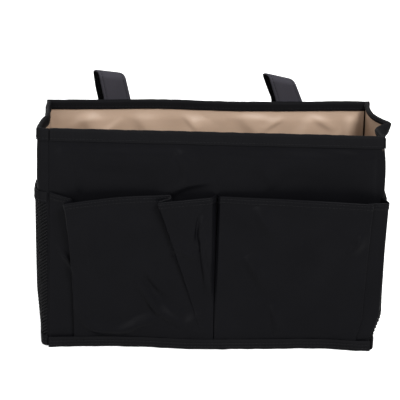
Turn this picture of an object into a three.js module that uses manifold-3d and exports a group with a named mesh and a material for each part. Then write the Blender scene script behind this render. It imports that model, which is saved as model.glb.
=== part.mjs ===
// Bedside caddy: a sewn box of stiffened cloth with pleated front pockets, net side pockets
// and two hook-and-loop straps that close round a bed rail.
// Millimetres, +Z up, front towards -Y. The origin is the middle of the base's underside.
import * as THREE from "three";
import { mergeVertices } from "three/addons/utils/BufferGeometryUtils.js";
import Module from "manifold-3d";

const wasm = await Module();
wasm.setup();

// Body
const PANEL_WIDTH = 310;
const BODY_DEPTH = 114;
const BODY_HEIGHT = 210;

// Layers
const CLOTH = 1.0;
const LINING = 0.8;
const BOARD = 2.0;
const TAPE = 0.9;
const GAP = 0.3; // between layers that lie on each other

// Edge tapes
const RIM_TAPE_HEIGHT = 10;
const FOOT_TAPE_HEIGHT = 10;

// Stiffening boards
const BOARD_INSET = 4; // from the seams at the panel's sides
const BOARD_CORNER = 3;

// Soft side walls: how far each stands out past its seams, at the foot and at the rim
const SIDE_WALLS = {
  left: { sign: -1, foot: 2, rim: 9.5, rise: 6, netSlack: 5.5 },
  right: { sign: 1, foot: 2, rim: 9.5, rise: 8, netSlack: 5.5 },
};

// Front pockets
const POCKET_HEIGHT = 151;
const POCKET_CLOTH = 0.9;
const SEAM_INSET = 0.6; // pocket edge to panel edge, and to the middle of the panel
const FOLD_EASE = 1.6; // pressed layers lie this many cloths apart
const SOFT_BEND = 14; // length of cloth on each side of a soft bend
const POCKET_LEVELS = 7;
const PLEAT_DEPTH = 10; // overlap of the side pleats at the foot
const LEFT_PLEAT = 23; // outer fold of the side pleat at the foot, from the seam
const RIGHT_PLEAT = 17;
const LEFT_PLEAT_MOUTH = { outer: 13, inner: 20, out: 18 };
const RIGHT_PLEAT_MOUTH = { past: 5, out: 17 };
const SLANT_FOLD = { mouth: 54, foot: 10, overlap: 12, footOverlap: 7, out: 16 };
const LEFT_FACE_OUT = 13;
const RIGHT_FACE_OUT = 19;
const FACE_START = 60; // where the flat of a pocket face begins, from the seam

// Net side pockets
const NET_HEIGHT = 150;
const NET_CLOTH = 0.8;
const NET_TAPE_HEIGHT = 10;
const NET_BIAS = 0.8; // under 1 moves the fullest place towards the front
const NET_COLUMNS = 7;
const NET_ROWS = 9;
const NET_EVENNESS = 0.6; // 0 crowds the diamonds where the wall turns, 1 spaces them by depth
const NET_STRAND = 0.24; // share of a diamond that its strands take up

// Hanging straps: each one's middle is a distance in from an end of the back panel
const STRAP_WIDTH = 25;
const STRAP_CLOTH = 2.0; // doubled and stitched
const STRAPS = { left: { sign: -1, fromEnd: 66, lean: -7 }, right: { sign: 1, fromEnd: 76, lean: -9 } };
const LOOP_RISE = 28; // top of the loop above the rim
const LOOP_RADIUS = 5.5; // inside the fold
const STRAP_DROP = 60; // from the rim to the strap's lower end on the back panel
const PATCH_HEIGHT = 30;
const PATCH_CLOTH = 1.5;
const PATCH_INSET = 1.5; // patch edge to strap edge
const HOOK_SHORTER = 2; // at each end of the hook patch

// Colours
const BLACK_CLOTH = cloth(0x1b1b1d, 0.82);
const BLACK_TAPE = cloth(0x17171a, 0.7);
const BLACK_NET = cloth(0x141416, 0.9);
const STRAP_BLACK = cloth(0x2b2b30, 0.78);
const BEIGE_LINING = cloth(0xb79f86, 0.55);
const GREY_BOARD = cloth(0x8d877c, 0.95);
const HOOK_PILE = cloth(0x101012, 0.95);

function cloth(color, roughness) {
  return new THREE.MeshStandardMaterial({ color, roughness, metalness: 0 });
}

// Places that follow from the sizes
const FRONT = -1;
const BACK = 1;
const HALF_WIDTH = PANEL_WIDTH / 2;
const HALF_DEPTH = BODY_DEPTH / 2;
const BOARD_START = CLOTH + GAP;
const BOARDED_LINING = BOARD_START + BOARD + GAP;
const BOARDED_WALL = BOARDED_LINING + LINING;
const SOFT_LINING = CLOTH + GAP;
const SOFT_WALL = SOFT_LINING + LINING;
const WALL_FOOT = Math.max(TAPE, CLOTH) + GAP;
const WALL_STEPS = 2 * NET_COLUMNS;
const WALL_TOP = BODY_HEIGHT - TAPE - GAP;
const RIM_TAPE_LOW = BODY_HEIGHT - RIM_TAPE_HEIGHT;
const SIDE_GAP = 2 * GAP; // between a panel's edge and the turn of the side wall
const POCKET_SPAN = HALF_WIDTH - 2 * SEAM_INSET;
const FIRST_LAYER = GAP + POCKET_CLOTH / 2; // middle of the cloth that lies on the panel
const FOLD_PITCH = FOLD_EASE * POCKET_CLOTH;
const FOLD_BEND = FOLD_PITCH / 2;
const SECOND_LAYER = FIRST_LAYER + FOLD_PITCH;
const THIRD_LAYER = SECOND_LAYER + FOLD_PITCH;
const POCKET_FOOT_OUT = THIRD_LAYER + POCKET_CLOTH / 2;
const NET_EASE = 2 * GAP; // between the net's flat diamonds and the tapes that follow its curve
const NET_CLEAR = 2 * GAP + TAPE + NET_EASE; // room behind the net for the inner leg of its tape
const NET_FOOT_OUT = NET_CLEAR + NET_CLOTH + NET_EASE;

const lerp = THREE.MathUtils.lerp;
const spread = (from, to, steps) =>
  Array.from({ length: steps + 1 }, (_, i) => lerp(from, to, i / steps));

// Solids from rings of points

// A closed solid through rings that all follow one outline, with the same triangles on both ends.
function loft(rings, capTriangles) {
  const count = rings[0].length;
  const index = [];
  for (let ring = 0; ring + 1 < rings.length; ring++) {
    for (let i = 0; i < count; i++) {
      const a = ring * count + i;
      const b = ring * count + ((i + 1) % count);
      index.push(a, b, b + count, a, b + count, a + count);
    }
  }
  const last = (rings.length - 1) * count;
  for (const [a, b, c] of capTriangles) {
    index.push(c, b, a, last + a, last + b, last + c);
  }
  const points = rings.flat().flatMap((p) => p.toArray());
  const geometry = new THREE.BufferGeometry();
  geometry.setAttribute("position", new THREE.Float32BufferAttribute(points, 3));
  geometry.setIndex(index);
  return facingOut(geometry);
}

// Turns every face round if the solid came out inside out, as a mirrored one does.
function facingOut(geometry) {
  const at = geometry.getAttribute("position");
  const index = geometry.getIndex().array;
  const corner = (i) => new THREE.Vector3().fromBufferAttribute(at, index[i]);
  let volume = 0;
  for (let i = 0; i < index.length; i += 3) {
    volume += corner(i).dot(corner(i + 1).cross(corner(i + 2)));
  }
  if (volume < 0) index.reverse();
  return geometry;
}

// Ends of a strip whose ring runs out along one face and back along the other.
const stripCap = (n) =>
  Array.from({ length: n - 1 }, (_, i) => [
    [i, i + 1, 2 * n - 2 - i],
    [i, 2 * n - 2 - i, 2 * n - 1 - i],
  ]).flat();

// A sheet along a wall: place(t, inward, z) gives a point at t along it, inward from its outer face.
function sheet(place, { from, to, steps, outside, inside, heights }) {
  const ts = spread(from, to, steps);
  const rings = heights.map((z) => [
    ...ts.map((t) => place(t, outside, z)),
    ...[...ts].reverse().map((t) => place(t, inside, z)),
  ]);
  return loft(rings, stripCap(ts.length));
}

// A profile of [inward, z] corners drawn along a wall.
function sweep(place, { from, to, steps, profile }) {
  const rings = spread(from, to, steps).map((t) => profile.map(([inward, z]) => place(t, inward, z)));
  const outline = profile.map(([inward, z]) => new THREE.Vector2(inward, z));
  return loft(rings, THREE.ShapeUtils.triangulateShape(outline, []));
}

// Cuts a box away from a solid.
function cutBox(geometry, box) {
  const size = box.getSize(new THREE.Vector3());
  const middle = box.getCenter(new THREE.Vector3());
  const tool = new THREE.BoxGeometry(size.x, size.y, size.z).translate(...middle.toArray());
  const cut = toSolid(geometry).subtract(toSolid(tool)).getMesh();
  const result = new THREE.BufferGeometry();
  result.setAttribute("position", new THREE.BufferAttribute(cut.vertProperties, 3));
  result.setIndex(new THREE.BufferAttribute(cut.triVerts, 1));
  return result;
}

function toSolid(geometry) {
  const bare = geometry.clone();
  bare.deleteAttribute("normal");
  bare.deleteAttribute("uv");
  const merged = mergeVertices(bare, 1e-4);
  return new wasm.Manifold(
    new wasm.Mesh({
      numProp: 3,
      vertProperties: merged.getAttribute("position").array,
      triVerts: new Uint32Array(merged.getIndex().array),
    }),
  );
}

// Walls

// A front or back wall. Here t is the distance across from the middle.
const straightWall = (facing) => (x, inward, z) =>
  new THREE.Vector3(x, facing * (HALF_DEPTH - inward), z);

// The plan of a soft side wall: t runs from 0 at the front seam to 1 at the back seam. It leaves
// the front seam sideways, is fullest a quarter of the way back and comes in to the back seam.
function sideLine({ sign, foot, rim, rise }, t, z) {
  const out = lerp(foot, rim, (z / BODY_HEIGHT) ** rise) * Math.sin(Math.PI * t);
  return new THREE.Vector2(
    sign * (HALF_WIDTH + SIDE_GAP + CLOTH * t + out),
    -HALF_DEPTH + BODY_DEPTH * t * t,
  );
}

// The way into the caddy, square to the side wall.
function sideInward(wall, t, z) {
  const step = 1e-3;
  const along = sideLine(wall, t + step, z).sub(sideLine(wall, t - step, z)).normalize();
  return new THREE.Vector2(along.y, -along.x).multiplyScalar(-wall.sign);
}

const sideWall = (wall) => (t, inward, z) => {
  const at = sideLine(wall, t, z).addScaledVector(sideInward(wall, t, z), inward);
  return new THREE.Vector3(at.x, at.y, z);
};

// Where along a side wall it is a given distance behind the front face.
const sideAt = (depth) => Math.sqrt(depth / BODY_DEPTH);
const SIDE_END = 1;
const LINING_END = sideAt(BODY_DEPTH - BOARDED_WALL - GAP);
const RIM_TAPE_END = sideAt(BODY_DEPTH - BOARDED_WALL - 2 * GAP - TAPE);
const SIDE_HEIGHTS = [...spread(WALL_FOOT, RIM_TAPE_LOW, 8), WALL_TOP];

function straightSheet(facing, halfWidth, outside, inside) {
  return sheet(straightWall(facing), {
    from: -halfWidth,
    to: halfWidth,
    steps: 1,
    outside,
    inside,
    heights: [WALL_FOOT, WALL_TOP],
  });
}

function sideSheet(wall, to, outside, inside) {
  return sheet(sideWall(wall), {
    from: 0,
    to,
    steps: WALL_STEPS,
    outside,
    inside,
    heights: SIDE_HEIGHTS,
  });
}

function roundedPlate(width, height, radius, thickness) {
  const w = width / 2 - radius;
  const h = height / 2 - radius;
  const shape = new THREE.Shape();
  shape.absarc(w, h, radius, 0, Math.PI / 2);
  shape.absarc(-w, h, radius, Math.PI / 2, Math.PI);
  shape.absarc(-w, -h, radius, Math.PI, 1.5 * Math.PI);
  shape.absarc(w, -h, radius, 1.5 * Math.PI, 2 * Math.PI);
  return new THREE.ExtrudeGeometry(shape, { depth: thickness, bevelEnabled: false, curveSegments: 3 });
}

// A stiffener stands between the outer cloth and the lining of a front or back wall.
function wallBoard(facing) {
  const width = PANEL_WIDTH - 2 * BOARD_INSET;
  const height = WALL_TOP - WALL_FOOT - 2 * GAP;
  const middle = facing * (HALF_DEPTH - BOARD_START - BOARD / 2);
  return roundedPlate(width, height, BOARD_CORNER, BOARD)
    .translate(0, 0, -BOARD / 2)
    .rotateX(Math.PI / 2)
    .translate(0, middle, (WALL_TOP + WALL_FOOT) / 2);
}

// Base

// A layer of the floor, held in from the outer faces of the walls, with ends that follow the
// side walls.
function basePlate(low, thickness, fromFront, fromSide) {
  const end = (wall) =>
    spread(sideAt(fromFront), sideAt(BODY_DEPTH - fromFront), WALL_STEPS).map((t) => {
      const p = sideWall(wall)(t, fromSide, 0);
      return new THREE.Vector2(p.x, p.y);
    });
  const corners = [...end(SIDE_WALLS.right), ...end(SIDE_WALLS.left).reverse()];
  return new THREE.ExtrudeGeometry(new THREE.Shape(corners), {
    depth: thickness,
    bevelEnabled: false,
  }).translate(0, 0, low);
}

// Edge tapes

// Folded over the rim, with a leg down each face of a wall.
function rimProfile(wallThickness) {
  const outer = -GAP - TAPE;
  const inner = wallThickness + GAP + TAPE;
  return [
    [outer, RIM_TAPE_LOW],
    [outer + TAPE, RIM_TAPE_LOW],
    [outer + TAPE, BODY_HEIGHT - TAPE],
    [inner - TAPE, BODY_HEIGHT - TAPE],
    [inner - TAPE, RIM_TAPE_LOW],
    [inner, RIM_TAPE_LOW],
    [inner, BODY_HEIGHT],
    [outer, BODY_HEIGHT],
  ];
}

// Turned under the outer cloth of a wall, with a leg up over whatever is sewn on its outside.
function footProfile(sewnOn) {
  const outer = -sewnOn - GAP - TAPE;
  return [
    [outer, 0],
    [CLOTH, 0],
    [CLOTH, TAPE],
    [outer + TAPE, TAPE],
    [outer + TAPE, FOOT_TAPE_HEIGHT],
    [outer, FOOT_TAPE_HEIGHT],
  ];
}

function straightTape(facing, halfLength, profile) {
  return sweep(straightWall(facing), { from: -halfLength, to: halfLength, steps: 1, profile });
}

function sideTape(wall, to, profile) {
  return sweep(sideWall(wall), { from: 0, to, steps: WALL_STEPS, profile });
}

// The back rim tape runs on over the ends of the side walls, where its inner leg stops short.
function backRimTape() {
  const past = HALF_WIDTH + SIDE_GAP + CLOTH + GAP + TAPE;
  const legEnd = HALF_WIDTH - SOFT_WALL - GAP;
  const inside = HALF_DEPTH - BOARDED_WALL;
  const tape = straightTape(BACK, past, rimProfile(BOARDED_WALL));
  return [FRONT, BACK].reduce((solid, end) => {
    const notch = new THREE.Box3().setFromPoints([
      new THREE.Vector3(end * legEnd, inside - GAP - 2 * TAPE, RIM_TAPE_LOW - TAPE),
      new THREE.Vector3(end * (past + TAPE), HALF_DEPTH + GAP, BODY_HEIGHT - TAPE),
    ]);
    return cutBox(solid, notch);
  }, tape);
}

// Front pockets

// A line through corners of [across, out, bend], each rounded over the length of its bend.
function roundedLine(corners) {
  const path = new THREE.Path();
  const points = corners.map(([across, out]) => new THREE.Vector2(across, out));
  path.moveTo(points[0].x, points[0].y);
  for (let i = 1; i + 1 < points.length; i++) {
    const at = points[i];
    const room = 0.49 * Math.min(at.distanceTo(points[i - 1]), at.distanceTo(points[i + 1]));
    const bend = Math.min(corners[i][2], room);
    const towards = (p) => p.clone().sub(at).setLength(bend).add(at);
    const start = towards(points[i - 1]);
    const end = towards(points[i + 1]);
    path.lineTo(start.x, start.y);
    path.quadraticCurveTo(at.x, at.y, end.x, end.y);
  }
  path.lineTo(points.at(-1).x, points.at(-1).y);
  return path.getPoints(4);
}

// Both faces of a cloth whose middle follows a line, as one ring.
function clothRing(line, thickness) {
  const face = (side) =>
    line.map((p, i) => {
      const along = line[Math.min(i + 1, line.length - 1)].clone().sub(line[Math.max(i - 1, 0)]);
      along.normalize();
      return new THREE.Vector2(p.x - along.y * side, p.y + along.x * side);
    });
  return [...face(thickness / 2), ...face(-thickness / 2).reverse()];
}

// A pocket front sewn to the panel along its outer seam, its foot and the middle of the panel.
// Its folds are given at the mouth and at the foot, from the outer seam and out from the panel.
function pocketFront(sign, mouth, foot) {
  const heights = [WALL_FOOT, ...spread(FOOT_TAPE_HEIGHT, POCKET_HEIGHT, POCKET_LEVELS)];
  const rings = heights.map((z) => {
    const up = Math.max(0, z - FOOT_TAPE_HEIGHT) / (POCKET_HEIGHT - FOOT_TAPE_HEIGHT);
    const corners = mouth.map((corner, i) => corner.map((value, k) => lerp(foot[i][k], value, up)));
    return clothRing(roundedLine(corners), POCKET_CLOTH).map(
      (p) => new THREE.Vector3(sign * (HALF_WIDTH - SEAM_INSET - p.x), -HALF_DEPTH - p.y, z),
    );
  });
  return loft(rings, stripCap(rings[0].length / 2));
}

// A knife pleat, from the layer on the panel to the third layer out.
const footPleat = (fold) => [
  [fold + PLEAT_DEPTH, FIRST_LAYER, FOLD_BEND],
  [fold + PLEAT_DEPTH, SECOND_LAYER, FOLD_BEND],
  [fold, SECOND_LAYER, FOLD_BEND],
  [fold, THIRD_LAYER, FOLD_BEND],
];

// The left pocket has a side pleat, and a slack fold that slants from its mouth to the divider.
function leftPocket() {
  const { outer, inner, out } = LEFT_PLEAT_MOUTH;
  const slant = POCKET_SPAN - SLANT_FOLD.mouth;
  const slantFoot = POCKET_SPAN - SLANT_FOLD.foot;
  const mouth = [
    [0, FIRST_LAYER, 0],
    [inner, out / 2, FOLD_BEND],
    [inner, out / 2 + FOLD_PITCH, FOLD_BEND],
    [outer, out - FOLD_PITCH, FOLD_BEND],
    [outer, out, FOLD_BEND],
    [FACE_START, LEFT_FACE_OUT, SOFT_BEND],
    [slant + SLANT_FOLD.overlap, SLANT_FOLD.out - 3 * FOLD_PITCH, FOLD_BEND],
    [slant + SLANT_FOLD.overlap, SLANT_FOLD.out - 2 * FOLD_PITCH, FOLD_BEND],
    [slant, SLANT_FOLD.out - FOLD_PITCH, FOLD_BEND],
    [slant, SLANT_FOLD.out, FOLD_BEND],
    [POCKET_SPAN, FIRST_LAYER, 0],
  ];
  const foot = [
    [0, FIRST_LAYER, 0],
    ...footPleat(LEFT_PLEAT),
    [FACE_START, THIRD_LAYER, SOFT_BEND],
    [slantFoot + SLANT_FOLD.footOverlap, FIRST_LAYER, FOLD_BEND],
    [slantFoot + SLANT_FOLD.footOverlap, SECOND_LAYER, FOLD_BEND],
    [slantFoot, SECOND_LAYER, FOLD_BEND],
    [slantFoot, THIRD_LAYER, FOLD_BEND],
    [POCKET_SPAN, THIRD_LAYER, 0],
  ];
  return pocketFront(SIDE_WALLS.left.sign, mouth, foot);
}

// The right pocket's side pleat is pressed at the foot and fully open at the mouth.
function rightPocket() {
  const { past, out } = RIGHT_PLEAT_MOUTH;
  const mouth = [
    [0, FIRST_LAYER, 0],
    [0, out / 3, SOFT_BEND],
    [-past / 2, out / 2, SOFT_BEND],
    [-past, out - FOLD_PITCH, SOFT_BEND],
    [-past, out, FOLD_BEND],
    [FACE_START, RIGHT_FACE_OUT, SOFT_BEND],
    [POCKET_SPAN, FIRST_LAYER, 0],
  ];
  const foot = [
    [0, FIRST_LAYER, 0],
    ...footPleat(RIGHT_PLEAT),
    [FACE_START, THIRD_LAYER, SOFT_BEND],
    [POCKET_SPAN, THIRD_LAYER, 0],
  ];
  return pocketFront(SIDE_WALLS.right.sign, mouth, foot);
}

// Net side pockets

// The net lies on the side wall at its seams and foot, and stands off it towards its mouth.
const netWall = (wall) => (share, inward, z) => {
  const t = lerp(share, Math.sqrt(share), NET_EVENNESS);
  const up = Math.max(0, z - FOOT_TAPE_HEIGHT) / (NET_HEIGHT - FOOT_TAPE_HEIGHT);
  const slack = wall.netSlack * Math.sin(Math.PI * t ** (2 * NET_BIAS)) * up;
  return sideWall(wall)(t, inward - NET_CLEAR - slack, z);
};

// Flat triangles of a net of staggered diamonds, on columns and rows counted in half cells.
// Each whole diamond is a frame round its hole, and the cut ones along the edges are closed.
function netTriangles() {
  const columns = 2 * NET_COLUMNS;
  const rows = 2 * NET_ROWS;
  const triangles = [];
  for (let row = 0; row <= rows; row++) {
    for (let column = row % 2; column <= columns; column += 2) {
      const corners = [
        [column - 1, row],
        [column, row - 1],
        [column + 1, row],
        [column, row + 1],
      ];
      const centre = [column, row];
      const inside = corners.map(([c, r]) => c >= 0 && c <= columns && r >= 0 && r <= rows);
      const whole = inside.every(Boolean);
      corners.forEach((a, i) => {
        const b = corners[(i + 1) % 4];
        if (whole) {
          const [holeA, holeB] = [a, b].map((p) => p.map((v, k) => lerp(v, centre[k], NET_STRAND)));
          triangles.push([a, b, holeB], [a, holeB, holeA]);
        } else if (inside[i] && inside[(i + 1) % 4]) {
          triangles.push([a, b, centre]);
        }
      });
    }
  }
  return triangles;
}

// A solid from flat triangles: both faces, and a wall along each edge that only one triangle has.
function thicken(triangles, toFace, toBack) {
  const edges = new Map();
  const key = (a, b) => `${a}|${b}`;
  for (const [a, b, c] of triangles) {
    for (const [from, to] of [[a, b], [b, c], [c, a]]) edges.set(key(from, to), [from, to]);
  }
  const points = triangles.flatMap(([a, b, c]) => [
    ...[a, b, c].map(toFace),
    ...[c, b, a].map(toBack),
  ]);
  for (const [from, to] of edges.values()) {
    if (edges.has(key(to, from))) continue;
    points.push(toFace(from), toBack(from), toBack(to), toFace(from), toBack(to), toFace(to));
  }
  const geometry = new THREE.BufferGeometry().setFromPoints(points);
  return facingOut(mergeVertices(geometry, 1e-4));
}

// Between whole columns the net lies on the same flats as the tape along its mouth.
function netPocket(wall) {
  const place = netWall(wall);
  const high = NET_HEIGHT - TAPE - GAP;
  const at = (inward) => ([column, row]) => {
    const first = Math.min(Math.floor(column), WALL_STEPS - 1);
    const z = lerp(WALL_FOOT, high, row / NET_ROWS / 2);
    const [from, to] = [first, first + 1].map((step) => place(step / WALL_STEPS, inward, z));
    return from.lerp(to, column - first);
  };
  return thicken(netTriangles(), at(-NET_CLOTH), at(0));
}

// Stretch tape folded over the mouth of the net.
function netTape(wall) {
  const low = NET_HEIGHT - NET_TAPE_HEIGHT;
  const outer = -NET_CLOTH - NET_EASE - TAPE;
  const inner = NET_EASE + TAPE;
  const profile = [
    [outer, low],
    [outer + TAPE, low],
    [outer + TAPE, NET_HEIGHT - TAPE],
    [inner - TAPE, NET_HEIGHT - TAPE],
    [inner - TAPE, low],
    [inner, low],
    [inner, NET_HEIGHT],
    [outer, NET_HEIGHT],
  ];
  return sweep(netWall(wall), { from: 0, to: 1, steps: WALL_STEPS, profile });
}

// Hanging straps, drawn from the side as [depth, height] and extruded across

const STRAP_FOOT = BODY_HEIGHT - STRAP_DROP;
const STRAP_ON_PANEL = HALF_DEPTH + GAP;
const STRAP_ON_TAPE = STRAP_ON_PANEL + TAPE + GAP;
const LOOP_FRONT = STRAP_ON_TAPE + STRAP_CLOTH; // inside face of the standing run
const LOOP_CENTRE = LOOP_FRONT + LOOP_RADIUS;
const LOOP_BACK = LOOP_CENTRE + LOOP_RADIUS;
const LOOP_SPRING = BODY_HEIGHT + LOOP_RISE - LOOP_RADIUS - STRAP_CLOTH; // where the fold begins
const PATCH_LOW = STRAP_FOOT + PATCH_INSET;
const PATCH_HIGH = PATCH_LOW + PATCH_HEIGHT;
const LOOP_PATCH = STRAP_ON_PANEL + STRAP_CLOTH + GAP;
const HOOK_PATCH = LOOP_PATCH + PATCH_CLOTH + GAP;
const TAIL_ON_PATCH = HOOK_PATCH + PATCH_CLOTH + GAP;
const STRAP_JOG = RIM_TAPE_LOW - 2 * STRAP_CLOTH; // where it steps out over the rim tape

// Across X, leaning sideways above the rim.
function acrossStrap(shape, { sign, fromEnd, lean }, inset = 0) {
  const width = STRAP_WIDTH - 2 * inset;
  const toRow = new THREE.Matrix4().makeBasis(
    new THREE.Vector3(0, 1, 0),
    new THREE.Vector3(0, 0, 1),
    new THREE.Vector3(1, 0, 0),
  );
  const solid = new THREE.ExtrudeGeometry(shape, { depth: width, bevelEnabled: false, curveSegments: 8 })
    .applyMatrix4(toRow)
    .translate(sign * (HALF_WIDTH - fromEnd) - width / 2, 0, 0);
  const at = solid.getAttribute("position");
  for (let i = 0; i < at.count; i++) {
    const above = Math.max(0, at.getZ(i) - BODY_HEIGHT) / LOOP_RISE;
    at.setX(i, at.getX(i) + lean * above);
  }
  return solid;
}

// Sewn down the back panel, up past the rim and over the fold.
function strapLoop(strap) {
  const shape = new THREE.Shape();
  shape.moveTo(STRAP_ON_PANEL, STRAP_FOOT);
  shape.lineTo(STRAP_ON_PANEL, STRAP_JOG - STRAP_CLOTH);
  shape.lineTo(STRAP_ON_TAPE, STRAP_JOG + STRAP_CLOTH);
  shape.lineTo(STRAP_ON_TAPE, BODY_HEIGHT);
  shape.lineTo(STRAP_ON_TAPE, LOOP_SPRING);
  shape.absarc(LOOP_CENTRE, LOOP_SPRING, LOOP_RADIUS + STRAP_CLOTH, Math.PI, 0, true);
  shape.lineTo(LOOP_BACK, LOOP_SPRING);
  shape.absarc(LOOP_CENTRE, LOOP_SPRING, LOOP_RADIUS, 0, Math.PI, false);
  shape.lineTo(LOOP_FRONT, BODY_HEIGHT);
  shape.lineTo(LOOP_FRONT, STRAP_JOG + STRAP_CLOTH);
  shape.lineTo(STRAP_ON_PANEL + STRAP_CLOTH, STRAP_JOG - STRAP_CLOTH);
  shape.lineTo(STRAP_ON_PANEL + STRAP_CLOTH, STRAP_FOOT);
  return acrossStrap(shape, strap);
}

// The free end: down behind the loop and flat against its patches.
function strapTail(strap) {
  const top = LOOP_SPRING - GAP;
  const atRim = (BODY_HEIGHT - PATCH_HIGH) / (top - PATCH_HIGH);
  const rimDepth = lerp(TAIL_ON_PATCH, LOOP_BACK, atRim);
  const shape = new THREE.Shape();
  shape.moveTo(TAIL_ON_PATCH, STRAP_FOOT);
  shape.lineTo(TAIL_ON_PATCH, PATCH_HIGH);
  shape.lineTo(rimDepth, BODY_HEIGHT);
  shape.lineTo(LOOP_BACK, top);
  shape.lineTo(LOOP_BACK + STRAP_CLOTH, top);
  shape.lineTo(rimDepth + STRAP_CLOTH, BODY_HEIGHT);
  shape.lineTo(TAIL_ON_PATCH + STRAP_CLOTH, PATCH_HIGH);
  shape.lineTo(TAIL_ON_PATCH + STRAP_CLOTH, STRAP_FOOT);
  return acrossStrap(shape, strap);
}

function strapPatch(strap, depth, shorter) {
  const shape = new THREE.Shape();
  shape.moveTo(depth, PATCH_LOW + shorter);
  shape.lineTo(depth + PATCH_CLOTH, PATCH_LOW + shorter);
  shape.lineTo(depth + PATCH_CLOTH, PATCH_HIGH - shorter);
  shape.lineTo(depth, PATCH_HIGH - shorter);
  return acrossStrap(shape, strap, PATCH_INSET);
}

// Assembly

const caddy = new THREE.Group();

function add(name, geometry, material) {
  const mesh = new THREE.Mesh(geometry, material);
  mesh.name = name;
  caddy.add(mesh);
}

for (const [name, facing] of Object.entries({ front: FRONT, back: BACK })) {
  const liningHalf = HALF_WIDTH - SOFT_WALL;
  const liningEnd = BOARDED_LINING + LINING;
  add(`${name}_panel`, straightSheet(facing, HALF_WIDTH, 0, CLOTH), BLACK_CLOTH);
  add(`${name}_board`, wallBoard(facing), GREY_BOARD);
  add(`${name}_lining`, straightSheet(facing, liningHalf, BOARDED_LINING, liningEnd), BEIGE_LINING);
}

for (const [name, wall] of Object.entries(SIDE_WALLS)) {
  add(`${name}_side_panel`, sideSheet(wall, SIDE_END, 0, CLOTH), BLACK_CLOTH);
  add(`${name}_side_lining`, sideSheet(wall, LINING_END, SOFT_LINING, SOFT_WALL), BEIGE_LINING);
  add(`${name}_rim_tape`, sideTape(wall, RIM_TAPE_END, rimProfile(SOFT_WALL)), BLACK_TAPE);
  add(`${name}_foot_tape`, sideTape(wall, SIDE_END, footProfile(NET_FOOT_OUT)), BLACK_TAPE);
  add(`${name}_net_pocket`, netPocket(wall), BLACK_NET);
  add(`${name}_net_tape`, netTape(wall), BLACK_TAPE);
}

const FLOOR_EDGE = [BOARDED_WALL + GAP, SOFT_WALL + GAP];
add("base_panel", basePlate(0, CLOTH, CLOTH + GAP, CLOTH + GAP), BLACK_CLOTH);
add("base_board", basePlate(BOARD_START, BOARD, ...FLOOR_EDGE), GREY_BOARD);
add("base_lining", basePlate(BOARDED_LINING, LINING, ...FLOOR_EDGE), BEIGE_LINING);

add("front_rim_tape", straightTape(FRONT, HALF_WIDTH, rimProfile(BOARDED_WALL)), BLACK_TAPE);
add("back_rim_tape", backRimTape(), BLACK_TAPE);
add("front_foot_tape", straightTape(FRONT, HALF_WIDTH, footProfile(POCKET_FOOT_OUT)), BLACK_TAPE);
add("back_foot_tape", straightTape(BACK, HALF_WIDTH, footProfile(0)), BLACK_TAPE);

add("left_front_pocket", leftPocket(), BLACK_CLOTH);
add("right_front_pocket", rightPocket(), BLACK_CLOTH);

for (const [name, strap] of Object.entries(STRAPS)) {
  add(`${name}_strap_loop`, strapLoop(strap), STRAP_BLACK);
  add(`${name}_strap_tail`, strapTail(strap), STRAP_BLACK);
  add(`${name}_loop_patch`, strapPatch(strap, LOOP_PATCH, 0), HOOK_PILE);
  add(`${name}_hook_patch`, strapPatch(strap, HOOK_PATCH, HOOK_SHORTER), HOOK_PILE);
}

export default caddy;
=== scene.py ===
"""Bedside caddy of stiffened black cloth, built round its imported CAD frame.

Lengths are in metres, +Z is up and the front pockets face -Y. Every sewn piece is a grid of
points along a wall, thickened into a closed cloth.
"""

import math
from collections import namedtuple

import bpy
import numpy as np
from bpy.props import FloatProperty, FloatVectorProperty, PointerProperty
from bpy.types import Operator, Panel, PropertyGroup
from mathutils import Matrix, Vector, noise


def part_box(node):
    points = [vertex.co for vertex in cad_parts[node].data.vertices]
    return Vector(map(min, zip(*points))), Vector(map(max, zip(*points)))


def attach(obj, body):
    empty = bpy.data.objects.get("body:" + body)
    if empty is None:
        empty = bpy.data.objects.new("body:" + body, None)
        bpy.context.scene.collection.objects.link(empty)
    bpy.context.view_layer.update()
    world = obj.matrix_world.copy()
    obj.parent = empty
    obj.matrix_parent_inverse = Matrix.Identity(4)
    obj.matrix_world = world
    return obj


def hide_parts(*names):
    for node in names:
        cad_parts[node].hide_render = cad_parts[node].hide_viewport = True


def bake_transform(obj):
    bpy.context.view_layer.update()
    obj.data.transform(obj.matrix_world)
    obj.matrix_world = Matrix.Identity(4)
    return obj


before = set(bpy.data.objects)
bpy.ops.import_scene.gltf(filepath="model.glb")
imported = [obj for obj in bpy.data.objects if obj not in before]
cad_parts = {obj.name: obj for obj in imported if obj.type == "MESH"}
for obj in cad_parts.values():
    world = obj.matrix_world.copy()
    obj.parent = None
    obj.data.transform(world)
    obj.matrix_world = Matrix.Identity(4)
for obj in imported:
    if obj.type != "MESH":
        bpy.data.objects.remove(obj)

bl_info = {
    "name": "Bedside Caddy",
    "version": (1, 0, 0),
    "blender": (4, 5, 0),
    "location": "View3D > Sidebar > Caddy",
    "description": "Builds a cloth bedside caddy with pleated pockets, nets and hanging straps",
    "category": "Add Mesh",
}

BODY = "caddy"
FRONT = -1
BACK = 1


# Places taken from the CAD frame


def lowest(node, axis):
    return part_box(node)[0][axis]


def highest(node, axis):
    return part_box(node)[1][axis]


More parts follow.
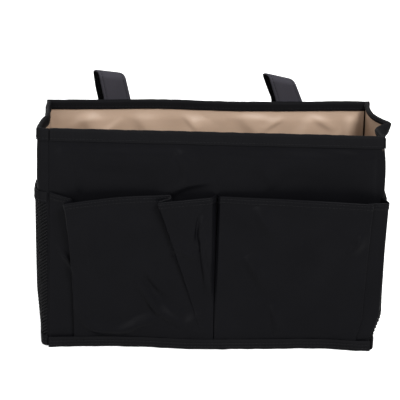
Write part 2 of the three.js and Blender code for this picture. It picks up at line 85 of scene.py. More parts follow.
HALF_WIDTH = highest("front_panel", 0)
HALF_DEPTH = highest("back_panel", 1)
DEPTH = 2 * HALF_DEPTH
WALL_FOOT = lowest("front_panel", 2)
WALL_TOP = highest("front_panel", 2)
RIM = highest("front_rim_tape", 2)
FOOT_TAPE_HIGH = highest("front_foot_tape", 2)
POCKET_HIGH = highest("left_front_pocket", 2)
NET_HIGH = highest("left_net_tape", 2)
NET_TAPE_LOW = lowest("left_net_tape", 2)
STRAP_FOOT = lowest("left_strap_loop", 2)
LOOP_TOP = highest("left_strap_loop", 2)
LOOP_RISE = LOOP_TOP - RIM
PATCH_LOW = lowest("left_loop_patch", 2)
PATCH_HIGH = highest("left_loop_patch", 2)
HOOK_LOW = lowest("left_hook_patch", 2)
HOOK_HIGH = highest("left_hook_patch", 2)
BOARD_HALF = highest("front_board", 0)
BOARD_LOW = lowest("front_board", 2)
BOARD_HIGH = highest("front_board", 2)
BOARD_INWARD = HALF_DEPTH - highest("back_board", 1)
LINING_INWARD = HALF_DEPTH - highest("back_lining", 1)
BASE_BOARD_LOW = lowest("base_board", 2)
BASE_LINING_LOW = lowest("base_lining", 2)
STRAP_INNER = lowest("left_strap_loop", 1)
LOOP_PATCH_INNER = lowest("left_loop_patch", 1)
HOOK_PATCH_INNER = lowest("left_hook_patch", 1)
TAIL_INNER = lowest("left_strap_tail", 1)

GAP = 0.0003
SEAM_INSET = 0.0006
LINING_THICK = 0.0008
BOARDED_WALL = LINING_INWARD + LINING_THICK
SOFT_LINING = 0.0013
SOFT_WALL = 0.0021

# The caddy stands a little out of square: its right end is deeper, and its front rim drops there
SKEW = 0.061
FRONT_DROP = 0.0021
SKEW_LIMIT = 1.1  # of the half width, past which the skew grows no more
FOOT_KICK = (  # across, and how far the foot of the front wall is pushed out
    (-0.151, 0.0026), (-0.107, 0.0), (-0.069, 0.0008), (-0.050, 0.0034),
    (-0.031, 0.0058), (-0.011, 0.0068), (0.008, 0.0064), (0.046, 0.0046),
    (0.084, 0.0028), (0.103, 0.0028), (0.122, 0.0046), (0.145, 0.0085),
)
FOOT_KICK_HIGH = 0.055
BACK_RISE = (  # across, and how much higher the back rim is
    (-0.155, 0.0018), (-0.100, 0.0020), (-0.050, 0.0026), (-0.029, 0.0022), (-0.009, 0.0012),
    (0.010, 0.0006), (0.030, 0.0), (0.100, 0.0003), (0.128, 0.0010), (0.155, 0.0006),
)
BACK_RISE_FROM = 0.1
PULL_FROM = 0.1  # across, where the right end starts to be drawn in
CORNER_PULL = 0.0066  # at the lower right corner
CORNER_PULL_FULL = 0.010
CORNER_PULL_NONE = 0.036
RIM_PULL = 0.002  # at the right end of the front rim
RIM_PULL_FROM = 0.17


def length_property(name, description, default, low):
    return FloatProperty(name=name, description=description, default=default, min=low, unit="LENGTH")


def power_property(name, description, default):
    return FloatProperty(name=name, description=description, default=default, min=0.0, unit="POWER")


def angle_property(name, description, degrees):
    return FloatProperty(name=name, description=description, default=math.radians(degrees), subtype="ANGLE")


class CaddySizes(PropertyGroup):
    """Thicknesses and sewing sizes of the caddy's cloth."""

    cloth: length_property("Outer Cloth", "Thickness of the black outer cloth", 0.001, 0.0002)
    lining: length_property("Lining", "Thickness of the beige lining", LINING_THICK, 0.0002)
    board: length_property("Board", "Thickness of the stiffening boards", 0.002, 0.0005)
    tape: length_property("Edge Tape", "Thickness of the ribbed edge tape", 0.0009, 0.0002)
    hem: length_property("Pocket Hem", "Width of the hem along each front pocket's mouth", 0.0065, 0.002)
    strand: length_property("Net Strand", "Thickness of the strands of the net", 0.0009, 0.0002)
    mesh_width: length_property("Net Mesh Width", "Width of one diamond of the net", 0.0044, 0.001)
    mesh_height: length_property("Net Mesh Height", "Height of one diamond of the net", 0.0032, 0.001)
    strap: length_property("Strap", "Thickness of the doubled strap cloth", 0.002, 0.0005)
    strap_width: length_property("Strap Width", "Width of each hanging strap", 0.025, 0.01)
    stitch: length_property("Stitch", "Length of one stitch", 0.0026, 0.001)
    thread: length_property("Thread", "Radius of the sewing thread", 0.00024, 0.00005)


def colour_property(name, description, default):
    return FloatVectorProperty(
        name=name,
        description=description,
        default=default,
        size=3,
        min=0.0,
        max=1.0,
        subtype="COLOR",
    )


class CaddyColours(PropertyGroup):
    """Colours of the caddy's materials, in linear light."""

    cloth: colour_property("Outer Cloth", "Black plain-weave cloth", (0.0038, 0.0038, 0.0046))
    side: colour_property("Side Cloth", "Duller black cloth of the soft sides", (0.0048, 0.0048, 0.0056))
    tape: colour_property("Edge Tape", "Black ribbed tape", (0.0072, 0.0072, 0.0080))
    net: colour_property("Net", "Black knitted net", (0.0098, 0.0098, 0.0106))
    strap: colour_property("Strap", "Dark grey strap cloth", (0.036, 0.0345, 0.042))
    lining: colour_property("Lining", "Beige lining", (0.430, 0.311, 0.228))
    # This colour also covers the whole inside of each strap
    pile: colour_property("Patch", "Hook and loop patches", (0.003, 0.003, 0.0034))
    board: colour_property("Board", "Grey stiffening board", (0.27, 0.24, 0.2))
    thread: colour_property("Thread", "Black sewing thread", (0.0065, 0.0065, 0.0075))


class CaddyStudio(PropertyGroup):
    """The light and the camera."""

    key: power_property("Key Light", "Power of the key light", 122.0)
    fill: power_property("Fill Light", "Power of the fill light", 34.0)
    top: power_property("Top Light", "Power of the light above", 26.0)
    back: power_property("Back Light", "Power of the light behind", 50.0)
    surround: FloatProperty(
        name="Surround", description="Strength of the soft light from all round", default=0.2, min=0.0
    )
    distance: length_property("Camera Distance", "From the camera to the middle of the caddy", 1.7, 0.3)
    yaw: angle_property("Yaw", "Turn of the camera round the caddy", -4.53)
    pitch: angle_property("Pitch", "Camera's angle above level", 17.87)
    roll: angle_property("Roll", "Tilt of the camera about its view", 1.58)
    lens: FloatProperty(name="Lens", description="Focal length in millimetres", default=159.3, min=10.0)


# Numbers and lines


def unit(vectors):
    return vectors / np.maximum(np.linalg.norm(vectors, axis=-1, keepdims=True), 1e-12)


def smooth_step(low, high, value):
    share = np.clip((value - low) / (high - low), 0, 1)
    return share * share * (3 - 2 * share)


def blend_of(a, b, share):
    return a + (b - a) * share


def run_of(points):
    """Distance along a line of points, from 0."""
    steps = np.linalg.norm(np.diff(points, axis=0), axis=-1)
    return np.concatenate([[0.0], np.cumsum(steps)])


def spaced(points, shares):
    """Points at shares of the length of a line."""
    run = run_of(points)
    at = np.asarray(shares) * run[-1]
    return np.stack([np.interp(at, run, points[:, k]) for k in range(points.shape[1])], axis=-1)


def curve_through(controls, per_span=12):
    """A smooth line through control points."""
    points = np.asarray(controls, float)
    padded = np.vstack([2 * points[0] - points[1], points, 2 * points[-1] - points[-2]])
    t = np.linspace(0, 1, per_span, endpoint=False)[:, None]
    spans = []
    for a, b, c, d in zip(padded, padded[1:], padded[2:], padded[3:]):
        slope = (c - a) * t
        curl = (2 * a - 5 * b + 4 * c - d) * t**2
        twist = (3 * b - a - 3 * c + d) * t**3
        spans.append(0.5 * (2 * b + slope + curl + twist))
    return np.vstack([*spans, points[-1:]])


def waves(across, up, scale, seed):
    """Smooth noise from -1 to 1 over arrays or numbers, with bumps about one scale apart."""
    across, up = np.broadcast_arrays(across, up)
    flat = zip(across.ravel() / scale, up.ravel() / scale)
    values = [noise.noise(Vector((a, b, seed))) for a, b in flat]
    return np.array(values).reshape(across.shape)


Crease = namedtuple("Crease", "line width depth")
SOFT_SIDE = 1.6
SHARP_SIDE = 0.8
CREASE_POINTS = 5  # on each span of a crease's line
CREASE_FADE = 0.8


def relief(across, up, creases):
    """Height of a set of creases over a cloth. Each fades to its ends, and its left side is softer."""
    height = np.zeros(np.broadcast(across, up).shape)
    for crease in creases:
        line = curve_through(crease.line, CREASE_POINTS)
        run = run_of(line) / run_of(line)[-1]
        nearest = np.full(height.shape, np.inf)
        place = np.zeros(height.shape)
        width = np.zeros(height.shape)
        for i, start in enumerate(line[:-1]):
            step = line[i + 1] - start
            along = (across - start[0]) * step[0] + (up - start[1]) * step[1]
            share = np.clip(along / (step @ step), 0, 1)
            aside = across - start[0] - share * step[0]
            above = up - start[1] - share * step[1]
            away = np.hypot(aside, above)
            closer = away < nearest
            softness = np.where(step[0] * above > step[1] * aside, SOFT_SIDE, SHARP_SIDE)
            nearest = np.where(closer, away, nearest)
            place = np.where(closer, blend_of(run[i], run[i + 1], share), place)
            width = np.where(closer, crease.width * softness, width)
        fade = np.sin(np.pi * place) ** CREASE_FADE
        height += crease.depth * fade * np.exp(-((nearest / width) ** 2))
    return height


def settle(points, across=None):
    """The way the real caddy stands, applied to points of the square one."""
    settled = np.array(points, float)
    z = settled[..., 2].copy()
    here = settled[..., 0].copy() if across is None else across
    share = np.clip(here / HALF_WIDTH, -SKEW_LIMIT, SKEW_LIMIT)
    front = np.clip((HALF_DEPTH - settled[..., 1]) / DEPTH, 0, 1)
    ahead = smooth_step(0, -HALF_DEPTH, settled[..., 1])
    right = smooth_step(PULL_FROM, HALF_WIDTH, here)
    settled[..., 0] -= right * ahead * CORNER_PULL * smooth_step(CORNER_PULL_NONE, CORNER_PULL_FULL, z)
    settled[..., 0] -= right * ahead * RIM_PULL * smooth_step(RIM_PULL_FROM, RIM, z)
    settled[..., 1] *= 1 + SKEW * share
    settled[..., 1] -= ahead * np.interp(here, *zip(*FOOT_KICK)) * smooth_step(FOOT_KICK_HIGH, 0, z)
    settled[..., 2] -= FRONT_DROP * share * z / RIM * front
    settled[..., 2] += np.interp(here, *zip(*BACK_RISE)) * (1 - front) * smooth_step(BACK_RISE_FROM, RIM, z)
    return settled


# Meshes


def add_mesh(name, points, faces, uvs, material, inside=None):
    """A smooth mesh object. inside is a second material, and the span of faces that it covers."""
    mesh = bpy.data.meshes.new(name)
    mesh.from_pydata(np.asarray(points).tolist(), [], faces)
    mesh.polygons.foreach_set("use_smooth", np.ones(len(mesh.polygons), bool))
    corners = np.empty(len(mesh.loops), np.int32)
    mesh.loops.foreach_get("vertex_index", corners)
    layer = mesh.uv_layers.new(name="Cloth")
    layer.uv.foreach_set("vector", np.asarray(uvs, np.float32)[corners].ravel())
    mesh.materials.append(material)
    if inside:
        second, first, last = inside
        mesh.materials.append(second)
        chosen = np.zeros(len(mesh.polygons), np.int32)
        chosen[first:last] = 1
        mesh.polygons.foreach_set("material_index", chosen)
    mesh.update()
    obj = bpy.data.objects.new(name, mesh)
    bpy.context.scene.collection.objects.link(obj)
    return obj


Cloth = namedtuple("Cloth", "obj grid normals half flat")
EDGE_BULGE = 0.9  # of half the thickness, at a cloth's edges
SQUARE = ((-1, -1), (1, -1), (1, 1), (-1, 1))


def grid_faces(index):
    corners = (index[:-1, :-1], index[:-1, 1:], index[1:, 1:], index[1:, :-1])
    return np.stack(corners, axis=-1).reshape(-1, 4)


def tube_faces(first, rings, sides):
    """Faces of a closed tube. Its points are numbered from first, ring after ring."""
    index = first + np.arange(rings * sides).reshape(rings, sides)
    after = np.roll(index, -1, axis=1)
    around = np.stack([index[:-1], after[:-1], after[1:], index[1:]], axis=-1).reshape(-1, 4)
    return [*around.tolist(), index[0, ::-1].tolist(), index[-1].tolist()]


def normals_of(grid, facing):
    return facing * unit(np.cross(np.gradient(grid, axis=1), np.gradient(grid, axis=0)))


def add_cloth(name, grid, thickness, material, facing=1, inner=None):
    """A closed cloth whose middle is a grid of points, with half-round edges.

    facing is 1 if the outside is where columns turn to rows by the right hand, or -1. inner is the
    material of the inside, if it has its own.
    """
    grid = np.asarray(grid, float)
    rows, columns = grid.shape[:2]
    half = np.broadcast_to(np.asarray(thickness, float) / 2, (rows, columns))
    normals = normals_of(grid, facing)
    count = rows * columns
    index = np.arange(count).reshape(rows, columns)
    border = np.concatenate([index[0, :-1], index[:-1, -1], index[-1, :0:-1], index[:0:-1, 0]])
    outward = np.zeros_like(grid)
    outward[0] += unit(grid[0] - grid[1])
    outward[-1] += unit(grid[-1] - grid[-2])
    outward[:, 0] += unit(grid[:, 0] - grid[:, 1])
    outward[:, -1] += unit(grid[:, -1] - grid[:, -2])
    flat_grid = grid.reshape(-1, 3)
    flat_half = half.reshape(-1, 1)
    lift = normals.reshape(-1, 3) * flat_half
    edge = flat_grid[border] + unit(outward.reshape(-1, 3)[border]) * flat_half[border] * EDGE_BULGE
    points = np.vstack([flat_grid + lift, flat_grid - lift, edge])
    top = grid_faces(index)
    after = np.roll(border, -1)
    rim = 2 * count + np.arange(len(border))
    rim_after = np.roll(rim, -1)
    faces = [
        top[:, ::facing],
        top[:, ::-facing] + count,
        np.stack([after, border, rim, rim_after], axis=-1)[:, ::facing],
        np.stack([rim_after, rim, border + count, after + count], axis=-1)[:, ::facing],
    ]
    across = np.mean([run_of(row) for row in grid], axis=0)
    up = np.mean([run_of(grid[:, c]) for c in range(columns)], axis=0)
    uv = np.stack(np.meshgrid(across, up), axis=-1).reshape(-1, 2)
    inside = (inner, len(top), 2 * len(top)) if inner else None
    uvs = np.vstack([uv, uv, uv[border]])
    obj = add_mesh(name, points, np.vstack(faces).tolist(), uvs, material, inside)
    return Cloth(obj, grid, normals, half, (across[-1], up[-1]))


def row_path(cloth, row, side=1):
    """A line over one face of a cloth at a row, which may lie between two, with its normals."""
    first = int(min(math.floor(row), cloth.grid.shape[0] - 2))
    share = row - first
    normals = unit(blend_of(cloth.normals[first], cloth.normals[first + 1], share)) * side
    half = blend_of(cloth.half[first], cloth.half[first + 1], share)[:, None]
    return blend_of(cloth.grid[first], cloth.grid[first + 1], share) + normals * half, normals


def column_path(cloth, column, side=1):
    turned = Cloth(None, *[np.swapaxes(a, 0, 1) for a in (cloth.grid, cloth.normals, cloth.half)], None)
    return row_path(turned, column, side)


STITCH_SIDES = 6
STITCH_PITCH = 1.25  # of a stitch's length
STITCH_START = 0.1  # of the pitch
STITCH_RINGS = (  # share of the length, then lift and width in radii of the thread
    (0.0, -0.6, 0.55),
    (0.2, 0.45, 1.0),
    (0.5, 0.75, 1.1),
    (0.8, 0.45, 1.0),
    (1.0, -0.6, 0.55),
)
NEARBY = 1e-4


def at_run(values, run, at):
    """The point or normal at a distance along a line."""
    return np.array([np.interp(at, run, values[:, i]) for i in range(3)])


def add_stitches(name, parent, paths, sizes):
    """Runs of stitches along lines of points with normals. Each is a short arched thread."""
    radius = sizes.thread
    pitch = sizes.stitch * STITCH_PITCH
    angles = np.linspace(0, 2 * np.pi, STITCH_SIDES, endpoint=False)
    points, faces, uvs = [], [], []
    for line, normals in paths:
        run = run_of(line)
        for k in range(int(run[-1] / pitch)):
            start = (k + STITCH_START) * pitch
            faces += tube_faces(len(points) * STITCH_SIDES, len(STITCH_RINGS), STITCH_SIDES)
            for share, lift, width in STITCH_RINGS:
                at = start + share * sizes.stitch
                ahead = at_run(line, run, at + NEARBY)
                behind = at_run(line, run, at - NEARBY)
                up = unit(at_run(normals, run, at))
                aside = unit(np.cross(unit(ahead - behind), up))
                ring = np.cos(angles)[:, None] * aside + np.sin(angles)[:, None] * up
                points.append(at_run(line, run, at) + up * lift * radius + ring * radius * width)
                uvs.append(np.stack([np.full(STITCH_SIDES, at), angles * radius], axis=-1))
    obj = add_mesh(name, np.vstack(points), faces, np.vstack(uvs), material_of("thread"))
    obj.parent = parent
    return obj


def stand_in(obj, node, body=BODY):
    """Hides the CAD part that a finished piece stands for, and hangs the piece on what it moves with."""
    if body:
        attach(obj, body)
    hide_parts(node)


def sew_in(cloth, node, body=BODY):
    """Hides the CAD part that a finished cloth stands for, and hangs the cloth on what it moves with."""
    stand_in(cloth.obj, node, body)


# Shader node groups


def new_group(name, inputs, output):
    """A shader node group with its sockets, and its two end nodes."""
    group = bpy.data.node_groups.new(name, "ShaderNodeTree")
    for socket, kind, value in inputs:
        made = group.interface.new_socket(socket, in_out="INPUT", socket_type=kind)
        if value is not None:
            made.default_value = value
    group.interface.new_socket(output, in_out="OUTPUT", socket_type="NodeSocketFloat")
    return group, group.nodes.new("NodeGroupInput"), group.nodes.new("NodeGroupOutput")


def calculate(group, operation, *values):
    """A math node fed by sockets or numbers, returning its output."""
    node = group.nodes.new("ShaderNodeMath")
    node.operation = operation
    for i, value in enumerate(values):
        if isinstance(value, (int, float)):
            node.inputs[i].default_value = value
        else:
            group.links.new(value, node.inputs[i])
    return node.outputs[0]


def noise_of(group, vector, scale, detail):
    node = group.nodes.new("ShaderNodeTexNoise")
    node.inputs["Scale"].default_value = scale
    node.inputs["Detail"].default_value = detail
    group.links.new(vector, node.inputs["Vector"])
    return node.outputs["Fac"]


def parts_of(group, vector):
    node = group.nodes.new("ShaderNodeSeparateXYZ")
    group.links.new(vector, node.inputs[0])
    return node.outputs


THREAD_HEIGHT = 0.5  # against the unevenness of the thread
RIB_HEIGHT = 0.6
SPECKS = 260.0
SPECK_SIZE = 0.09
PLY_TURNS = 9000.0


def plain_weave():
    """Uneven threads that pass over and under each other."""
    group, start, end = new_group(
        "Plain Weave",
        [("Cloth", "NodeSocketVector", None), ("Threads", "NodeSocketFloat", 1800.0)],
        "Height",
    )
    across, up, _ = parts_of(group, start.outputs["Cloth"])
    turns = calculate(group, "MULTIPLY", start.outputs["Threads"], math.pi)
    warp = calculate(group, "SINE", calculate(group, "MULTIPLY", across, turns))
    weft = calculate(group, "SINE", calculate(group, "MULTIPLY", up, turns))
    cross = calculate(group, "MULTIPLY", warp, weft)
    slub = noise_of(group, start.outputs["Cloth"], scale=420.0, detail=2.0)
    height = calculate(group, "MULTIPLY_ADD", cross, THREAD_HEIGHT, slub)
    group.links.new(height, end.inputs["Height"])
    return group


def tape_ribs():
    """Fine ribs across a woven tape."""
    group, start, end = new_group(
        "Tape Ribs",
        [("Cloth", "NodeSocketVector", None), ("Ribs", "NodeSocketFloat", 900.0)],
        "Height",
    )
    across = parts_of(group, start.outputs["Cloth"])[0]
    turns = calculate(group, "MULTIPLY", start.outputs["Ribs"], 2 * math.pi)
    rib = calculate(group, "SINE", calculate(group, "MULTIPLY", across, turns))
    slub = noise_of(group, start.outputs["Cloth"], scale=600.0, detail=2.0)
    group.links.new(calculate(group, "MULTIPLY_ADD", rib, RIB_HEIGHT, slub), end.inputs["Height"])
    return group


def lint_and_rub():
    """Small pale specks of lint and broad patches of rubbed cloth, as a mask from 0 to 1."""
    group, start, end = new_group(
        "Lint and Rub",
        [
            ("Place", "NodeSocketVector", None),
            ("Lint", "NodeSocketFloat", 0.3),
            ("Rub", "NodeSocketFloat", 0.3),
        ],
        "Mask",
    )
    specks = group.nodes.new("ShaderNodeTexVoronoi")
    specks.inputs["Scale"].default_value = SPECKS
    group.links.new(start.outputs["Place"], specks.inputs["Vector"])
    near = calculate(group, "LESS_THAN", specks.outputs["Distance"], SPECK_SIZE)
    rubbed = noise_of(group, start.outputs["Place"], scale=38.0, detail=5.0)
    worn = calculate(group, "MULTIPLY", rubbed, start.outputs["Rub"])
    mask = calculate(group, "MULTIPLY_ADD", near, start.outputs["Lint"], worn)
    group.links.new(mask, end.inputs["Mask"])
    return group


def thread_twist():
    """The slanting ply of a sewing thread."""
    group, start, end = new_group("Thread Twist", [("Cloth", "NodeSocketVector", None)], "Height")
    along, round_it, _ = parts_of(group, start.outputs["Cloth"])
    slant = calculate(group, "ADD", along, round_it)
    turn = calculate(group, "MULTIPLY", slant, PLY_TURNS)
    group.links.new(calculate(group, "SINE", turn), end.inputs["Height"])
    return group


GROUPS = {
    "Plain Weave": plain_weave,
    "Tape Ribs": tape_ribs,
    "Lint and Rub": lint_and_rub,
    "Thread Twist": thread_twist,
}


def group_node(tree, name):
    node = tree.nodes.new("ShaderNodeGroup")
    node.node_tree = bpy.data.node_groups.get(name) or GROUPS[name]()
    return node


Finish = namedtuple("Finish", "surface setting relief roughness specular lint rub")
FINISHES = {
    "cloth": Finish("Plain Weave", 1700.0, 0.00004, 0.36, 0.028, 0.25, 0.5),
    "side": Finish("Plain Weave", 1700.0, 0.00004, 0.6, 0.025, 0.25, 0.4),
    "tape": Finish("Tape Ribs", 800.0, 0.00015, 0.65, 0.008, 0.1, 0.4),
    "net": Finish("Thread Twist", None, 0.00006, 0.6, 0.025, 0.0, 0.3),
    "strap": Finish("Plain Weave", 1500.0, 0.00014, 0.75, 0.06, 0.1, 0.35),
    "lining": Finish("Plain Weave", 2600.0, 0.00005, 0.42, 0.3, 0.0, 0.12),
    "pile": Finish("Plain Weave", 2200.0, 0.0003, 0.9, 0.04, 0.1, 0.4),
    "board": Finish("Plain Weave", 500.0, 0.0001, 0.95, 0.1, 0.0, 0.3),
    "thread": Finish("Thread Twist", None, 0.00005, 0.55, 0.1, 0.0, 0.2),
}
BUMP = 0.6
PALE = 1.5  # of the colour, where it is rubbed or has lint
DARK = 0.85


def material_of(key):
    """The material of a kind of cloth, made on first use from its colour and finish."""
    name = "Caddy " + key.title()
    if name in bpy.data.materials:
        return bpy.data.materials[name]
    finish = FINISHES[key]
    colour = getattr(bpy.context.scene.caddy_colours, key)
    material = bpy.data.materials.new(name)
    material.use_nodes = True
    tree = material.node_tree
    shader = tree.nodes["Principled BSDF"]
    shader.inputs["Roughness"].default_value = finish.roughness
    shader.inputs["Specular IOR Level"].default_value = finish.specular
    places = tree.nodes.new("ShaderNodeTexCoord")
    surface = group_node(tree, finish.surface)
    tree.links.new(places.outputs["UV"], surface.inputs["Cloth"])
    if finish.setting:
        surface.inputs[1].default_value = finish.setting
    bump = tree.nodes.new("ShaderNodeBump")
    bump.inputs["Strength"].default_value = BUMP
    bump.inputs["Distance"].default_value = finish.relief
    tree.links.new(surface.outputs["Height"], bump.inputs["Height"])
    tree.links.new(bump.outputs["Normal"], shader.inputs["Normal"])
    worn = group_node(tree, "Lint and Rub")
    worn.inputs["Lint"].default_value = finish.lint
    worn.inputs["Rub"].default_value = finish.rub
    tree.links.new(places.outputs["Object"], worn.inputs["Place"])
    tint = tree.nodes.new("ShaderNodeMix")
    tint.data_type = "RGBA"
    pale = [min(1.0, c * PALE) for c in colour]
    dark = [c * DARK for c in colour]
    tint.inputs["A"].default_value = (*dark, 1)
    tint.inputs["B"].default_value = (*pale, 1)
    tree.links.new(worn.outputs["Mask"], tint.inputs["Factor"])
    tree.links.new(tint.outputs["Result"], shader.inputs["Base Color"])
    return material


# Walls


def straight_grid(facing, xs, zs, inward):
    """A grid over a front or back wall, a distance inward from its outer face."""
    x, z = np.meshgrid(xs, zs)
    y = facing * (HALF_DEPTH - np.broadcast_to(inward, x.shape))
    return np.stack([x, y, z], axis=-1)


Side = namedtuple("Side", "name sign tape_inside wall net")

# Plans of the soft side walls and the nets at several heights: how far the cloth stands out past
# the seam, at each of these depths behind the front face
DEPTHS = (0, 0.0014, 0.005, 0.014, 0.032, 0.057, 0.08, 0.1, 0.114)
LEFT = Side(
    name="left",
    sign=-1,
    tape_inside=0.0095,
    wall=(
        (0.000, DEPTHS, (0.0006, 0.0029, 0.0047, 0.0052, 0.0048, 0.0042, 0.0034, 0.0027, 0.0012)),
        (0.040, DEPTHS, (0.0006, 0.0019, 0.004, 0.0074, 0.0093, 0.0076, 0.005, 0.0032, 0.0012)),
        (0.110, DEPTHS, (0.0006, 0.0021, 0.0046, 0.0086, 0.0105, 0.0084, 0.0054, 0.0034, 0.0012)),
        (0.140, DEPTHS, (0.0006, 0.0036, 0.007, 0.01, 0.0106, 0.0082, 0.0053, 0.0033, 0.0012)),
        (
            0.158,
            (0, 0.0012, 0.0046, 0.011, 0.027, 0.046, 0.072, 0.097, 0.114),
            (0.0006, 0.006, 0.0102, 0.0109, 0.0092, 0.0064, 0.0041, 0.003, 0.0012),
        ),
        (
            0.210,
            (0, 0.0008, 0.0034, 0.008, 0.024, 0.041, 0.056, 0.092, 0.114),
            (0.0006, 0.006, 0.0102, 0.0106, 0.009, 0.0062, 0.003, 0.0031, 0.0012),
        ),
    ),
    net=(
        (0.005, DEPTHS, (0.0015, 0.0039, 0.0059, 0.0065, 0.0061, 0.0054, 0.0045, 0.0037, 0.0022)),
        (0.050, DEPTHS, (0.0016, 0.0032, 0.0062, 0.0104, 0.0109, 0.0089, 0.0062, 0.0043, 0.0022)),
        (0.100, DEPTHS, (0.0016, 0.0034, 0.0068, 0.0114, 0.0119, 0.0097, 0.0066, 0.0045, 0.0022)),
        (0.140, DEPTHS, (0.0016, 0.0044, 0.0086, 0.0122, 0.0122, 0.0098, 0.0066, 0.0045, 0.0022)),
        (0.150, DEPTHS, (0.0016, 0.006, 0.0102, 0.0127, 0.0122, 0.0098, 0.0066, 0.0045, 0.0022)),
    ),
)
RIGHT = Side(
    name="right",
    sign=1,
    tape_inside=0.0045,
    wall=(
        (0.000, DEPTHS, (0.0006, 0.0015, 0.0019, 0.0021, 0.0022, 0.0026, 0.0027, 0.0024, 0.0012)),
        (0.025, DEPTHS, (0.0006, 0.002, 0.0032, 0.0042, 0.0048, 0.0046, 0.004, 0.0029, 0.0012)),
        (0.110, DEPTHS, (0.0006, 0.002, 0.0034, 0.0046, 0.0052, 0.005, 0.0042, 0.003, 0.0012)),
        (0.150, DEPTHS, (0.0006, 0.0014, 0.0016, 0.002, 0.003, 0.004, 0.0038, 0.0029, 0.0012)),
        (
            0.188,
            (0, 0.002, 0.008, 0.02, 0.035, 0.046, 0.06, 0.085, 0.114),
            (0.0006, 0.0016, 0.0015, 0.001, 0.0018, 0.004, 0.0035, 0.0022, 0.0012),
        ),
        (
            0.203,
            (0, 0.007, 0.023, 0.033, 0.042, 0.047, 0.064, 0.084, 0.114),
            (0.0005, 0, -0.0018, 0.0016, 0.0096, 0.01, 0.0026, 0.0002, 0.0012),
        ),
        (
            0.210,
            (0, 0.008, 0.025, 0.035, 0.043, 0.0475, 0.067, 0.085, 0.114),
            (0.0004, -0.0004, -0.0024, 0.0024, 0.0114, 0.0118, 0.0021, -0.0008, 0.0012),
        ),
    ),
    net=(
        (0.005, DEPTHS, (0.0015, 0.0025, 0.0033, 0.0036, 0.0038, 0.004, 0.004, 0.0036, 0.0022)),
        (0.030, DEPTHS, (0.0016, 0.0034, 0.0048, 0.0058, 0.0066, 0.0066, 0.0056, 0.0042, 0.0022)),
        (0.110, DEPTHS, (0.0016, 0.0036, 0.0052, 0.0064, 0.0072, 0.007, 0.0058, 0.0044, 0.0022)),
        (0.150, DEPTHS, (0.0016, 0.0027, 0.0032, 0.004, 0.0054, 0.0064, 0.0059, 0.0046, 0.0022)),
    ),
)
SIDES = (LEFT, RIGHT)
PLAN_STEP = 0.002
PLAN_EASE = 4  # steps of height over which one plan eases into the next


def plan_curve(plan):
    """The curve of one plan: out past the seam, behind the front face."""
    _, behind, out = plan
    return curve_through(np.stack([out, behind], axis=-1))


def eased_plans(plans, shares):
    """Heights, and the plan at each of them at shares of its length."""
    levels = np.array([height for height, _, _ in plans])
    curves = np.array([spaced(plan_curve(plan), shares) for plan in plans])
    heights = np.arange(0, RIM + PLAN_STEP, PLAN_STEP)
    span = np.clip(np.searchsorted(levels, heights, side="right") - 1, 0, len(levels) - 2)
    share = np.clip((heights - levels[span]) / (levels[span + 1] - levels[span]), 0, 1)[:, None, None]
    steps = blend_of(curves[span], curves[span + 1], share)
    window = np.hanning(2 * PLAN_EASE + 3)[1:-1]
    padded = np.pad(steps, ((PLAN_EASE, PLAN_EASE), (0, 0), (0, 0)), mode="edge")
    eased = sum(w * padded[i : i + len(heights)] for i, w in enumerate(window)) / window.sum()
    return heights, eased


def side_grid(side, shares, zs, inward, plans=None):
    """A grid over a side wall, or over other plans.

    inward is one distance, or one for each row or point.
    """
    heights, steps = eased_plans(plans or side.wall, shares)
    zs = np.asarray(zs, float)
    step = np.clip(zs / PLAN_STEP, 0, len(heights) - 1.001)
    first = step.astype(int)
    plan = blend_of(steps[first], steps[first + 1], (step - first)[:, None, None])
    along = unit(np.gradient(plan, axis=1))
    turned = np.stack([-along[..., 1], along[..., 0]], axis=-1)
    inward = np.asarray(inward, float)
    if inward.ndim == 1:
        inward = inward[:, None]
    at = plan + turned * np.broadcast_to(inward, plan.shape[:2])[..., None]
    z = np.broadcast_to(zs[:, None], plan.shape[:2])
    return np.stack([side.sign * (HALF_WIDTH + at[..., 0]), -HALF_DEPTH + at[..., 1], z], axis=-1)


def with_edges(low, high, step, margin=0.0006):
    """Even steps, with one short step at each end to keep the edge crisp."""
    inner = np.linspace(low + margin, high - margin, max(2, round((high - low) / step)))
    return np.concatenate([[low], inner, [high]])


FRONT_CREASES = (
    Crease(((-0.0420, 0.202), (-0.0330, 0.176), (-0.0265, 0.158)), 0.0022, 0.0011),
    Crease(((-0.0560, 0.145), (-0.0400, 0.153), (-0.0250, 0.160), (-0.0020, 0.164)), 0.0036, 0.0019),
    Crease(((-0.1310, 0.184), (-0.1290, 0.168), (-0.1275, 0.150)), 0.0020, 0.0016),
    Crease(((-0.1560, 0.184), (-0.0850, 0.183), (-0.0200, 0.184)), 0.0130, 0.0024),
    Crease(((-0.0100, 0.182), (0.0700, 0.181), (0.1540, 0.184)), 0.0130, 0.0018),
    Crease(((0.1485, 0.206), (0.1482, 0.180), (0.1480, 0.150)), 0.0018, -0.0022),
    Crease(((0.0300, 0.192), (0.0400, 0.178), (0.0520, 0.158)), 0.0060, 0.0010),
    Crease(((0.0900, 0.1965), (0.1100, 0.195), (0.1300, 0.192)), 0.0030, 0.0012),
)
BACK_CREASES = (
    Crease(((-0.090, 0.150), (-0.074, 0.100), (-0.050, 0.040)), 0.007, 0.0018),
    Crease(((0.080, 0.145), (0.094, 0.100), (0.100, 0.060)), 0.006, 0.0016),
    Crease(((0.000, 0.160), (0.010, 0.120), (0.030, 0.090)), 0.008, 0.0015),
)

BROAD_WAVE = 0.05
FINE_WAVE = 0.018
FINE_SEED = 7.0
BROAD_SHARE = 0.7


def loose(across, up, depth, seed):
    """How far slack cloth stands off what it covers."""
    broad = 0.5 + 0.5 * waves(across, up, BROAD_WAVE, seed)
    fine = 0.5 + 0.5 * waves(across, up, FINE_WAVE, seed + FINE_SEED)
    return depth * (BROAD_SHARE * broad + (1 - BROAD_SHARE) * fine)


